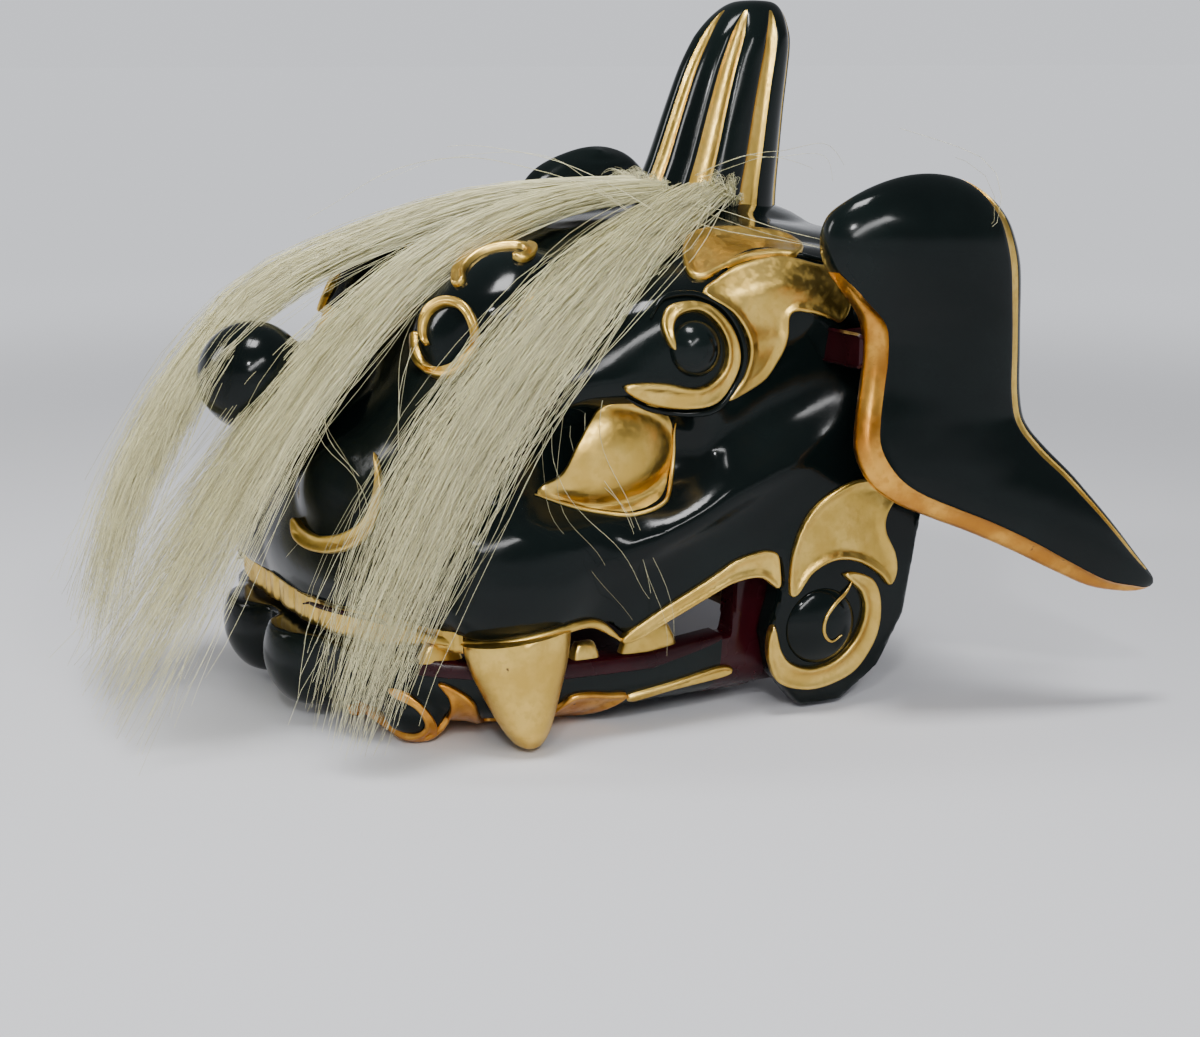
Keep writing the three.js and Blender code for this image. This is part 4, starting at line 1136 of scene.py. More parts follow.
def winding(start: float, sweep: float, radii: Sequence[float], widths: Sequence[float]) -> tuple:
    """Draws a band that winds about the origin.

    Args:
        start: where it starts, in degrees.
        sweep: how far it winds, in degrees.
        radii: the radius of its middle, spaced evenly along it.
        widths: its width at the same places.

    Returns:
        The band's outline.
    """
    steps = 26
    place = np.linspace(0, 1, steps)
    rank = np.linspace(0, 1, len(radii))
    radius = np.interp(place, rank, radii)
    half = np.interp(place, rank, widths) / 2
    turn = np.radians(start + sweep * place)
    edges = [[(float(r * math.cos(t)), float(r * math.sin(t))) for r, t in zip(radius + way * half, turn)]
             for way in (1, -1)]
    return ribbon(*edges)


SIDE = View.from_side()
BROW_RING_OUTER = ((-16, 166), (-1, 159), (16, 156), (31, 158), (41, 171), (42, 184), (35, 197), (24, 203),
                   (10, 202), (4, 195), (5, 187), (9, 181))
BROW_RING_INNER = ((-12, 168.5), (3, 168), (20, 165), (32, 171), (35.5, 182), (32, 192), (24, 199), (14, 198),
                   (9, 192), (10, 181))
BROW_LEAF = ((29, 206), (38, 212), (53, 218), (73, 221), (91, 217), (99, 216), (104, 209), (105, 199), (99, 191),
             (92, 193), (82, 196), (73, 196), (71, 185), (66, 174), (58, 164), (38, 157), (46, 168), (48.5, 184),
             (42, 197))
UPPER_LEAF = ((-30.6, -10), (-30.6, 0.9), (-26.8, 8.1), (-16.5, 12.5), (-2.4, 13.8), (13.2, 12.8), (22, 10.3),
              (26.4, 5.6), (27.6, 0), (23.2, -4.4), (15.7, -4.4), (7, -5.3), (-2.4, -7.8), (-13.4, -13.1),
              (-21.2, -17.2), (-27.5, -16.3))
CRESCENT = ((-30.9, -2.4), (-30.9, 6.3), (-25.7, 14.2), (-18, 19.5), (-7.2, 21.6), (2.6, 21), (7.5, 16.7),
            (6.3, 11.5), (2, 9), (-2.6, 10.2), (-3.2, 12.4), (0.4, 12.4), (2.6, 14.9), (-1.1, 17.3), (-8.8, 17),
            (-16.5, 14.9), (-22.6, 10.2), (-25.4, 5), (-24.8, 0.1), (-27.5, -2.7))
NOSTRIL_RIM = ((-26.3, -17.6), (-24.5, -26.2), (-16.4, -31.5), (-4.4, -33.1), (7.6, -29.9), (16.2, -22.2),
               (20.7, -10.1), (20.5, 1.9), (16.5, 13.2), (17.5, 0.6), (14.9, -11.5), (9, -19.5), (-0.4, -24.3),
               (-11.1, -24.8), (-19.1, -20.8), (-23.1, -16.8))
CHEEK_FLAME = ((66, 63.6), (68.5, 82.5), (77.9, 99.9), (92.6, 110.5), (110, 114.7), (133.4, 108.2), (126.5, 102.9),
               (121.8, 95.2), (121.7, 86.9), (127.1, 75.7), (128, 66.1), (123.7, 59.8), (117.1, 66.3), (104.8, 73.8),
               (91.6, 76.1), (78.7, 71.3), (69.9, 61.2))
CHEEK_RING = ((96, 68.7), (103.5, 69), (113.7, 63.6), (118, 51.5), (116.3, 35.3), (106.4, 20.1), (93.2, 13.7),
              (78.1, 12), (63, 17.3), (56.8, 28.9), (55.8, 40.3), (58.6, 47), (62.5, 34.6), (68.3, 27.2),
              (79.6, 23.3), (92.8, 26), (103.2, 35.4), (108.1, 47.9), (106.2, 58), (101.1, 63.5))
CHEEK_HOOK = ((103, 67), (97, 60), (89, 56), (82.5, 50), (81.5, 42.5), (86, 37.5), (92, 40))
EYE_OUTLINE = ((-56, 119), (-45, 127), (-37, 142), (-25, 156), (-11, 158), (5, 155), (14, 145), (15, 132),
               (11, 120), (3, 112), (-12, 108), (-28, 110), (-42, 114))
LIP_WEDGE = ((-21.5, 49.8), (-5.1, 59.5), (22.8, 73.1), (40.5, 82), (58.6, 83.7), (61.7, 73.8), (60.5, 65.3),
             (51.5, 71.2), (37.1, 70.1), (22.9, 64.3), (5.4, 56.5), (-15.3, 47.7))
LIP_ROLL = ((-128, 70), (-122, 63), (-116, 58), (-104, 53.9), (-88, 53.5), (-72, 55.9), (-56, 58.3), (-42, 59.6),
            (-33, 57.8), (-26, 52.5), (-22, 49))
JAW_FLAME = ((-104, 33), (-99, 25), (-97, 15), (-101, 8), (-107, 3), (-96, 1.5), (-76, 1), (-55, 1), (-37, 1.5),
             (-24, 5), (-11, 16.5), (-22, 19.5), (-32, 21.5), (-41, 21), (-47, 15), (-51, 8), (-62, 5), (-74, 6),
             (-82, 13), (-88, 23), (-96, 30))
JAW_LINE = ((-9, 16), (12, 20), (40, 25), (44, 20), (14, 16.5), (-6, 13))
CHEEK_BALL = ((84, 44), 19.0, 6.5)
CORNER_CRESCENT = ((-122.5, 29.1), (-115, 27), (-107, 18), (-102, 8), (-102.5, 2), (-112, 2), (-122, 2.5),
                   (-124, 4.5), (-114, 5), (-109, 8), (-109, 13), (-113, 19.9), (-119.5, 24.6))


@dataclass
class ReliefWork:
    """All the gilded and black relief of the head and the jaw."""

    head: HeadForm
    jaw: JawForm
    gilt_height: float = 2.7

    def gilt(self, corners: tuple, view: View = SIDE, height: float | None = None) -> Relief:
        """A dished gilded form."""
        return Relief(corners, view, Profile.DISHED, height or self.gilt_height)

    def ball(self, corners: tuple, view: View, height: float) -> Relief:
        """A round black form."""
        return Relief(corners, view, Profile.DOMED, height)

    def views(self) -> dict[str, View]:
        """The planes that the forms of the forehead and the nose are drawn on, all facing the left front.

        Returns:
            The planes by name.
        """
        middles = {
            "upper_leaf": (96, 70, 222), "forehead_curl": (68.6, -70.5, 183), "small_curl": (70, -22, 190),
            "forehead_crescent": (64, -36, 208), "nostril_rim": (53, -123, 118),
        }
        return {name: View.facing(middle, 62, 13) for name, middle in middles.items()}

    def gilded(self) -> dict[str, tuple[Relief, Slot]]:
        """The gilded forms of the head by the name of the node that they replace.

        Returns:
            Each form with its slot.
        """
        views = self.views()
        ring = tuple((u - 6.4, 1.18 * v + 2.5) for u, v in
                     winding(205, -395, (8, 12.5, 14.5, 15, 15, 14.5), (1.2, 3.5, 4, 5, 4.5, 2)))
        return {
            "brow_leaf": (self.gilt(BROW_LEAF), Slot.GOLD),
            "brow_curl": (self.gilt(ribbon(BROW_RING_OUTER, BROW_RING_INNER), height=3.2), Slot.GOLD),
            "cheek_flame": (self.gilt(CHEEK_FLAME), Slot.GOLD),
            "cheek_curl": (self.gilt(CHEEK_RING, height=3.0), Slot.GOLD),
            "upper_leaf": (self.gilt(UPPER_LEAF, views["upper_leaf"]), Slot.GOLD),
            "forehead_curl": (self.gilt(ring, views["forehead_curl"], 3.2), Slot.GOLD),
            "forehead_crescent": (self.gilt(CRESCENT, views["forehead_crescent"], 3.2), Slot.GOLD),
            "nostril_rim": (self.gilt(NOSTRIL_RIM, views["nostril_rim"], 3.0), Slot.GOLD),
        }

    def black(self) -> list[Relief]:
        """The round black forms of the head.

        Returns:
            The forms.
        """
        views = self.views()
        return [
            self.ball(disc((19.5, 183), 13.2), SIDE, 8.5),
            self.ball(disc(CHEEK_BALL[0], CHEEK_BALL[1]), SIDE, CHEEK_BALL[2]),
            self.ball(disc((0, 0), 12.0), views["small_curl"], 7.0),
        ]

    def build(self) -> None:
        """Builds every relief on both sides."""
        for name, (relief, slot) in self.gilded().items():
            patch = relief.patch(self.head.face)
            for side_name, side in SIDES:
                piece = mesh_object(f"{name}_{side_name}_relief", patch.on(side), [slot], 60)
                seat(piece, Body.HEAD, [f"{name}_{side_name}"])
        balls = joined(relief.patch(self.head.face) for relief in self.black())
        small = self.gilt(winding(75, 170, (12.5, 12.5, 12.5), (1.5, 5, 1.5)), self.views()["small_curl"], 2.6)
        crescent = small.patch(self.head.face)
        for side_name, side in SIDES:
            piece = mesh_object(f"curl_balls_{side_name}", balls.on(side), [Slot.BLACK], 60)
            seat(piece, Body.HEAD)
            piece = mesh_object(f"small_crescent_{side_name}", crescent.on(side), [Slot.GOLD], 60)
            seat(piece, Body.HEAD)
        wedge = Relief(LIP_WEDGE, SIDE, Profile.DISHED, 2.6, 1.1).patch(self.head.face)
        rim = joined(wedge.on(side) for side in (1, -1))
        seat(mesh_object("lip_gilding", rim, [Slot.GOLD], 60), Body.HEAD, ["lip_rim"])
        for name, corners, slot in (("jaw_flame", JAW_FLAME, Slot.AMBER), ("jaw_line", JAW_LINE, Slot.GOLD)):
            patch = Relief(corners, SIDE, Profile.DISHED, 2.4, 1.1).patch(self.jaw.face)
            for side_name, side in SIDES:
                piece = mesh_object(f"{name}_{side_name}_relief", patch.on(side), [slot], 60)
                seat(piece, Body.JAW, [f"{name}_{side_name}"])
        crescent = Relief(CORNER_CRESCENT, SIDE, Profile.DISHED, 2.2, 1.0).patch(self.jaw.face)
        for side_name, side in SIDES:
            piece = mesh_object(f"jaw_crescent_{side_name}", crescent.on(side), [Slot.AMBER], 60)
            seat(piece, Body.JAW)


@dataclass
class CarvedBodies:
    """The hollow head and the jaw, lacquered black outside and dark red inside the mouth."""

    head: HeadForm
    jaw: JawForm
    head_step: float = 2.9
    head_low: Triple = (0, -186, -4)
    head_high: Triple = (162, 150.9, 248)
    jaw_step: float = 2.6
    jaw_low: Triple = (0, -168, -3.9)
    jaw_high: Triple = (138, 118, 86)
    arm_start: float = 39.0

    def build(self) -> None:
        """Builds both carvings."""
        head = carved(self.head.shell, self.head_low, self.head_high, self.head_step)
        middle = head.points[np.array(head.faces)].mean(1)
        head.marks = (self.head.inside(middle) < 1.2).astype(int).tolist()
        piece = mesh_object("head_carving", head, [Slot.BLACK, Slot.WINE], 42)
        seat(piece, Body.HEAD, ["head_shell"])
        jaw = carved(self.jaw.shell, self.jaw_low, self.jaw_high, self.jaw_step)
        middle = jaw.points[np.array(jaw.faces)].mean(1)
        inner = self.jaw.trough(middle) < -0.75 * JAW_WALL
        arm = middle[:, 1] > self.arm_start
        jaw.marks = (inner | arm).astype(int).tolist()
        piece = mesh_object("jaw_carving", jaw, [Slot.BLACK, Slot.WINE], 42)
        seat(piece, Body.JAW, ["jaw"])


@dataclass
class Horn:
    """The fluted horn: black ridges with a gilded channel between each two."""

    flutes: int = 8
    channel_steps: int = 10
    ridge_steps: int = 12
    rings: int = 90
    first_channel: float = 12.0
    channel_share: float = 0.38
    depth: float = 2.4

    def sections(self) -> Points:
        """Rows of height, lean back, half depth and half width.

        Returns:
            The rows, the heights in shares of the horn's length and the rest of its depth.
        """
        return np.array([
            (-0.14, -0.06, 0.57, 0.46), (0.06, -0.03, 0.55, 0.44), (0.25, 0.05, 0.5, 0.41),
            (0.44, 0.13, 0.455, 0.375), (0.59, 0.2, 0.42, 0.345), (0.7, 0.26, 0.38, 0.315),
            (0.785, 0.305, 0.325, 0.27), (0.845, 0.34, 0.255, 0.21), (0.88, 0.365, 0.16, 0.135),
            (0.89, 0.37, 0.03, 0.026),
        ])

    def build(self) -> None:
        """Builds the horn."""
        rows = curve_through(self.sections(), self.rings)
        steps = self.channel_steps + self.ridge_steps
        rank = np.arange(self.flutes * steps)
        flute, place = rank // steps, rank % steps
        in_channel = place < self.channel_steps
        along_channel = place / self.channel_steps
        along_ridge = (place - self.channel_steps) / self.ridge_steps
        rings, gilt = [], []
        for z, y, deep, wide in rows:
            up = float(np.clip((z + 0.14) / 1.055, 0, 1))
            live = float(np.clip((0.93 - up) / 0.1, 0, 1))
            share = self.channel_share * (0.25 + 0.75 * math.sqrt(live)) * (1.1 - 0.15 * up)
            local = np.where(in_channel, share * (along_channel - 0.5), share / 2 + (1 - share) * along_ridge)
            turn = math.radians(self.first_channel) + 2 * math.pi * (flute + local) / self.flutes
            dip = -self.depth * live * np.sin(math.pi * np.clip(along_channel, 0, 1)) ** 0.7
            swell = live * (0.5 + 1.5 * np.sin(math.pi * np.clip(along_ridge, 0, 1)) ** 0.6)
            grow = np.where(in_channel, dip + 0.5 * live * (place == 0), swell)
            x = (wide * HORN_DEPTH + grow) * np.cos(turn)
            along = (deep * HORN_DEPTH + grow) * np.sin(turn)
            level = np.full(len(rank), CROWN_HEIGHT + z * HORN_LENGTH)
            rings.append(np.stack([x, HORN_Y + y * HORN_DEPTH + along, level], 1))
            gilt.append(live > 0.02)
        patch = skin_of(np.array(rings))
        marks = []
        for i in range(len(rings) - 1):
            marks += [int(gilt[i] and inside) for inside in in_channel]
        patch.marks = marks + [0] * (len(patch.faces) - len(marks))
        seat(mesh_object("horn_carving", patch, [Slot.BLACK, Slot.GOLD], 65), Body.HEAD, ["horn"])


@dataclass
class Ears:
    """The drooping ears: thick black leaves with an amber rim in front and below, and a gilt groove behind."""

    rings: int = 96
    band_steps: int = 7
    face_steps: int = 34
    groove_steps: int = 4
    edge_steps: int = 8
    back_steps: int = 36
    tenon_low: Triple = (113.5, 92.5, 171.5)
    tenon_high: Triple = (162.0, 115.5, 188.5)

    def sections(self) -> Points:
        """Rows of the front edge, the back edge, the half thickness and the amber rim's width, in millimetres.

        Returns:
            The rows from the ear's top to its tip.
        """
        return np.array([
            (158, 125, 260, 161, 130, 260, 1, 0.4), (158, 118, 259, 162, 136, 259, 5, 0.4),
            (157, 101, 256, 166, 149, 256, 10, 0.4), (157, 84, 249, 171, 160, 248, 14.5, 0.4),
            (157, 76, 242, 174, 166, 240, 17, 0.5), (158, 73, 232, 177, 169, 230, 18.5, 0.6),
            (159, 75, 221, 179, 171, 219, 18, 1), (161, 84, 208, 180, 171.5, 205, 16.5, 5),
            (162, 93, 195, 180, 172, 192, 15.5, 8), (163, 95, 180, 181, 172, 177, 14.5, 8),
            (165, 92, 163, 182, 172, 160, 13.6, 8), (168, 88, 148, 184, 173, 147, 13, 8.5),
            (171, 86, 134, 187, 175.5, 140, 12.4, 9.5), (176, 91, 120, 190, 181, 133, 11.8, 11),
            (180, 103, 110, 194, 188, 125, 11.3, 12), (185, 120, 102, 198, 194, 118, 10.9, 12),
            (191, 139, 94, 202, 201, 109, 10.3, 11.5), (197, 160, 84, 206, 209, 99, 9.4, 10.5),
            (202, 181, 73, 209, 217, 89, 8.2, 9), (206, 202, 63, 211, 226, 78, 6.6, 7.5),
            (209.5, 220, 59, 212, 233, 70, 4.6, 5.5), (211, 230, 58.5, 212.5, 237, 65, 2.6, 3),
            (212, 235, 59.5, 213, 237.5, 62, 0.8, 1),
        ])

    def ring(self, row: Points, run: Points) -> Points:
        """One closed section, from the front edge over the outer face and back along the inner one.

        Args:
            row: a row of the smooth table.
            run: the way that the ear runs here.

        Returns:
            The section's points.
        """
        front, back, thick, band = row[:3], row[3:6], row[6], row[7]
        centre, half = (front + back) / 2, max(float(np.linalg.norm(back - front)) / 2, 0.5)
        along = (back - front) / (2 * half)
        out = np.cross(along, run)
        out /= np.linalg.norm(out)
        out = out if out[0] > 0 else -out
        cut = math.asin(np.clip(-1 + band / half, -1, 0.5))
        groove = (math.asin(0.81), math.asin(0.9))
        angle = np.concatenate([
            np.linspace(-math.pi / 2, cut, self.band_steps, endpoint=False),
            np.linspace(cut, groove[0], self.face_steps, endpoint=False),
            np.linspace(groove[0], groove[1], self.groove_steps, endpoint=False),
            np.linspace(groove[1], math.pi / 2, self.edge_steps, endpoint=False),
            np.linspace(math.pi / 2, 1.5 * math.pi, self.back_steps, endpoint=False),
        ])
        c, s = np.cos(angle), np.sin(angle)
        a = np.sign(c) * np.abs(c) ** 0.8 * thick
        rank = np.arange(len(angle))
        live = min(band / 6, 1)
        in_band = (rank > 0) & (rank < self.band_steps)
        a = np.where(in_band, a * (1 - 0.22 * live) - 0.5 * live, a)
        a = np.where(rank == self.band_steps, a + 0.5 * live, a)
        first = self.band_steps + self.face_steps
        in_groove = (rank > first) & (rank < first + self.groove_steps)
        a = np.where(in_groove, a - 0.8 * min(half / 30, 1), a)
        return centre + a[:, None] * out + (half * s)[:, None] * along

    def build(self) -> None:
        """Builds both ears with their tenons."""
        rows = curve_through(self.sections(), self.rings)
        middles = (rows[:, :3] + rows[:, 3:6]) / 2
        runs = np.gradient(middles, axis=0)
        runs /= np.linalg.norm(runs, axis=1, keepdims=True)
        patch = skin_of(np.array([self.ring(row, run) for row, run in zip(rows, runs)]))
        sides = self.band_steps + self.face_steps + self.groove_steps + self.edge_steps + self.back_steps
        first = self.band_steps + self.face_steps
        marks = []
        for i in range(self.rings - 1):
            share = i / (self.rings - 1)
            ring_marks = [0] * sides
            if rows[i, 7] > 1.2:
                ring_marks[:self.band_steps] = [1] * self.band_steps
                ring_marks[-3:] = [1] * 3
            if 0.08 < share < 0.9:
                ring_marks[first:first + self.groove_steps] = [2] * self.groove_steps
            marks += ring_marks
        patch.marks = marks + [0] * (len(patch.faces) - len(marks))
        tenon = rounded_block(self.tenon_low, self.tenon_high, 1.2)
        for side_name, side in SIDES:
            piece = mesh_object(f"ear_leaf_{side_name}", patch.on(side), [Slot.BLACK, Slot.AMBER, Slot.GOLD], 50)
            seat(piece, Body.HEAD, [f"ear_{side_name}"])
            piece = mesh_object(f"ear_stub_{side_name}", tenon.on(side), [Slot.WINE], 40)
            seat(piece, Body.HEAD, [f"ear_tenon_{side_name}"])


def rounded_block(low: Sequence[float], high: Sequence[float], bevel: float) -> Patch:
    """A block with its edges bevelled.

    Args:
        low: its lowest corner.
        high: its highest corner.
        bevel: how much each edge is cut back.

    Returns:
        The closed block.
    """
    low, high = np.array(low, float), np.array(high, float)
    rings = []
    for x, inset in ((low[0], bevel), (low[0] + bevel, 0), (high[0] - bevel, 0), (high[0], bevel)):
        ring = []
        for sy, sz in ((-1, -1), (1, -1), (1, 1), (-1, 1)):
            y = (high[1] if sy > 0 else low[1]) - sy * inset
            z = (high[2] if sz > 0 else low[2]) - sz * inset
            first, second = (y - sy * bevel, z), (y, z - sz * bevel)
            ring += [(x, *p) for p in ((first, second) if sy == sz else (second, first))]
        rings.append(ring)
    return skin_of(np.array(rings))


@dataclass
class Eyes:
    """The gilded eyeballs, drawn out to a corner in front."""

    head: HeadForm
    ball: Mound = Mound(0.7, -0.06, 0.565, 0.185, 0.155, 0.15, 0, 1)
    bulge: float = 3.0

    def under_gilding(self, p: Points) -> Points:
        """The face with the eyeball that the gold lies on."""
        return soft_min(self.head.face(p), self.ball.value(p), 3.0)

    def build(self) -> None:
        """Builds both eyes on the head."""
        patch = Relief(EYE_OUTLINE, SIDE, Profile.DOMED, self.bulge, 1.5).patch(self.under_gilding)
        for side_name, side in SIDES:
            piece = mesh_object(f"eye_gilt_{side_name}", patch.on(side), [Slot.GOLD], 60)
            seat(piece, Body.HEAD, [f"eye_{side_name}"])


FANG_LIP = np.array([(-104, 53), (-88, 54.5), (-72, 56.5), (-56, 58.5), (-40, 58), (-30, 53)])


@dataclass
class Teeth:
    """Fangs, the upper front row and the lower side teeth on their gum."""

    fang_root: Triple = (131.5, -72.5, 63.0)
    fang_length: float = 61.5
    fang_width: float = 52.0
    upper_count: int = 10
    upper_span: float = 62.0
    lower_teeth: tuple = ((-101, 11, 9), (-74, 11, 9), (-33, 7.5, 8.5), (1, 16, 14))
    tooth_sections: tuple = ((0, 1.0, 1.0), (0.4, 0.88, 0.9), (0.8, 0.7, 0.74), (0.95, 0.6, 0.55), (1, 0.45, 0.3))

    def fang(self) -> Patch:
        """One fang on the left, flat behind and round in front.

        Returns:
            The closed fang.
        """
        rows = curve_through(np.array([
            (0, 0, 0.5, 0.13), (0.3, 0.01, 0.455, 0.14), (0.58, 0.045, 0.345, 0.138), (0.82, 0.085, 0.235, 0.12),
            (0.94, 0.105, 0.15, 0.09), (0.985, 0.112, 0.08, 0.055), (1.0, 0.115, 0.01, 0.01),
        ]), 44)
        along = np.array([0.28, 0.96, 0.0])
        out = np.cross(along, (0, 0, 1))
        turn = 2 * math.pi * np.arange(48) / 48
        rings = []
        for down, back, wide, thick in rows:
            centre = np.array(self.fang_root) + (0, back * self.fang_width, -down * self.fang_length)
            round_out = np.where(np.cos(turn) > 0, 2.25, 0.8) * thick
            rings.append(centre + np.outer(np.cos(turn) * round_out * self.fang_width, out)
                         + np.outer(np.sin(turn) * wide * self.fang_width, along))
        fang = skin_of(np.array(rings))
        lip = np.interp(fang.points[:, 1], FANG_LIP[:, 0], FANG_LIP[:, 1])
        fang.points[:, 2] = np.minimum(fang.points[:, 2], lip)
        return fang

    def upper(self, head: HeadForm) -> Patch:
        """The upper front row, scored between its teeth.

        Args:
            head: the carved head.

        Returns:
            The row as one patch.
        """
        turns = np.radians(np.linspace(-self.upper_span, self.upper_span, 24 * self.upper_count + 1))
        start = np.array([0, SPINE_Y, 0])
        direction = np.stack([np.sin(turns), -np.cos(turns), 0 * turns], 1)
        level = np.concatenate([np.linspace(48.5, 62.5, 9), [62.5]])
        share = (np.linspace(0, self.upper_count, len(turns)) % 1) * 2 - 1
        share[-1] = -1
        bulge = 1.9 * (1 - np.abs(share) ** 4)
        rings = []
        for z in level:
            base = np.full(len(turns), 200.0)
            for _ in range(150):
                p = start + direction * base[:, None] + (0, 0, 66)
                base = np.where(head.face(p) > 0, base - 1, base)
            rounding = 1.6 * (1 - min((z - 48.5) / 3.0, 1)) ** 2
            rings.append(start + direction * (base - 5.5 + bulge - rounding)[:, None] + (0, 0, z))
        front = np.array(rings)
        front[-1] -= direction * 6
        low = front[0] - direction * 7
        rows = np.concatenate([low[None], front[:1] - direction[None] * 1.0 + (0, 0, -0.3), front], 0)
        count, sides = rows.shape[:2]
        faces = [[i * sides + j, i * sides + j + 1, (i + 1) * sides + j + 1, (i + 1) * sides + j]
                 for i in range(count - 1) for j in range(sides - 1)]
        faces += [[(count - 1) * sides + j, (count - 1) * sides + j + 1, j + 1, j] for j in range(sides - 1)]
        faces += [[i * sides for i in range(count)][::-1], [i * sides + sides - 1 for i in range(count)]]
        return outwards(Patch(rows.reshape(-1, 3), faces))

    def lower(self, jaw: JawForm) -> tuple[Patch, Patch]:
        """The left lower teeth and the gum that they stand on.

        Args:
            jaw: the carved jaw.

        Returns:
            The teeth, and the gum.
        """
        gum_line = JAW_TOP[2:]
        rings = []
        for y in np.linspace(-112, 39, 60):
            z = float(np.interp(y, gum_line[:, 0], gum_line[:, 1]))
            outer = self.edge_of(jaw, y)
            ends = math.sqrt(min(1.0, (39.5 - y) / 40))
            rings.append([(outer - 1.0, y, z - 7 * ends), (outer + 0.7, y, z - 6 * ends), (outer + 0.7, y, z - 0.4),
                          (outer - 0.8, y, z + 1.2), (outer - 13, y, z + 1.4), (outer - 13, y, z - 7 * ends)])
        gum = skin_of(np.array(rings))
        teeth = []
        for y, half, high in self.lower_teeth:
            base = float(np.interp(y, gum_line[:, 0], gum_line[:, 1])) + 0.6
            outer = self.edge_of(jaw, y)
            slices = []
            for z, grow, thin in self.tooth_sections:
                square = disc((0, 0), 1, 1, 32)
                ring = []
                for a, b in square:
                    a, b = np.sign(a) * abs(a) ** 0.55, np.sign(b) * abs(b) ** 0.55
                    ring.append((outer - 7 + 4.4 * thin * a, y + half * grow * b, base + high * z))
                slices.append(ring)
            teeth.append(skin_of(np.array(slices)))
        return joined(teeth), gum

    def edge_of(self, jaw: JawForm, y: float) -> float:
        """How far out the jaw's upper edge stands at one depth.

        Args:
            jaw: the carved jaw.
            y: the depth.

        Returns:
            Its X.
        """
        x = np.arange(60.0, 140.0, 0.5)
        p = np.stack([x, np.full_like(x, y), np.full_like(x, 38.0)], 1)
        inside = jaw.trough(p) < 0
        return float(x[inside].max()) if inside.any() else 60.0

    def build(self, head: HeadForm, jaw: JawForm) -> None:
        """Builds all the teeth.

        Args:
            head: the carved head.
            jaw: the carved jaw.
        """
        fang = self.fang()
        teeth, gum = self.lower(jaw)
        for side_name, side in SIDES:
            piece = mesh_object(f"fang_gilt_{side_name}", fang.on(side), [Slot.GOLD], 60)
            seat(piece, Body.HEAD, [f"fang_{side_name}"])
            piece = mesh_object(f"lower_row_{side_name}", teeth.on(side), [Slot.GOLD], 50)
            seat(piece, Body.JAW, [f"lower_teeth_{side_name}"])
            seat(mesh_object(f"gum_{side_name}", gum.on(side), [Slot.WINE], 50), Body.JAW)
        upper = mesh_object("upper_row", self.upper(head), [Slot.GOLD], 50)
        seat(upper, Body.HEAD, ["upper_teeth"])


class NodePlan(NodeBoard):
    """A Geometry Nodes tree whose inputs are named."""

    def __init__(self, name: str) -> None:
        """Starts a tree with its geometry input and output.

        Args:
            name: the tree's name.
        """
        self.tree = bpy.data.node_groups.new(name, "GeometryNodeTree")
        self.tree.interface.new_socket("Geometry", in_out="INPUT", socket_type="NodeSocketGeometry")
        self.tree.interface.new_socket("Geometry", in_out="OUTPUT", socket_type="NodeSocketGeometry")
        self.start = self.tree.nodes.new("NodeGroupInput")
        self.end = self.tree.nodes.new("NodeGroupOutput")

    def size(self, name: str, value: float, kind: str = "NodeSocketFloat") -> Socket:
        """Adds a named input with its usual value.

        Args:
            name: its name.
            value: its value.
            kind: its socket type.

        Returns:
            The input as the tree reads it.
        """
        socket = self.tree.interface.new_socket(name, in_out="INPUT", socket_type=kind)
        socket.default_value = value
        return self.start.outputs[name]

    def maths(self, operation: str, *values: object) -> Socket:
        """Adds a sum on numbers."""
        return self.add("ShaderNodeMath", dict(enumerate(values)), operation=operation).outputs[0]

    def vectors(self, operation: str, *values: object) -> Socket:
        """Adds a sum on vectors."""
        return self.add("ShaderNodeVectorMath", dict(enumerate(values)), operation=operation).outputs[0]

    def scaled(self, vector: object, by: object) -> Socket:
        """Scales a vector."""
        return self.add("ShaderNodeVectorMath", {0: vector, "Scale": by}, operation="SCALE").outputs[0]

    def named(self, name: str, kind: str) -> Socket:
        """Reads a named attribute."""
        return self.add("GeometryNodeInputNamedAttribute", {"Name": name}, data_type=kind).outputs["Attribute"]

    def chance(self, low: float, high: float, identity: object, seed: object) -> Socket:
        """A random number for each strand.

        Args:
            low: the least.
            high: the most.
            identity: what tells strands or locks apart.
            seed: the draw's fixed seed.

        Returns:
            The number.
        """
        node = self.add("FunctionNodeRandomValue", data_type="FLOAT")
        floats = [s for s in node.inputs if s.type == "VALUE" and s.enabled]
        floats[0].default_value, floats[1].default_value = low, high
        self.fill(node, {"ID": identity, "Seed": seed})
        return next(s for s in node.outputs if s.type == "VALUE" and s.enabled)

    def close(self, geometry: Socket, slot: Slot) -> bpy.types.GeometryNodeTree:
        """Realizes the instances, sets the material and ends the tree.

        Args:
            geometry: what the tree has made.
            slot: whose material it gets.

        Returns:
            The finished tree.
        """
        real = self.add("GeometryNodeRealizeInstances", {"Geometry": geometry})
        dressed = self.add("GeometryNodeSetMaterial", {"Geometry": real.outputs[0], "Material": PALETTE[slot]})
        self.tree.links.new(dressed.outputs[0], self.end.inputs[0])
        return self.tree


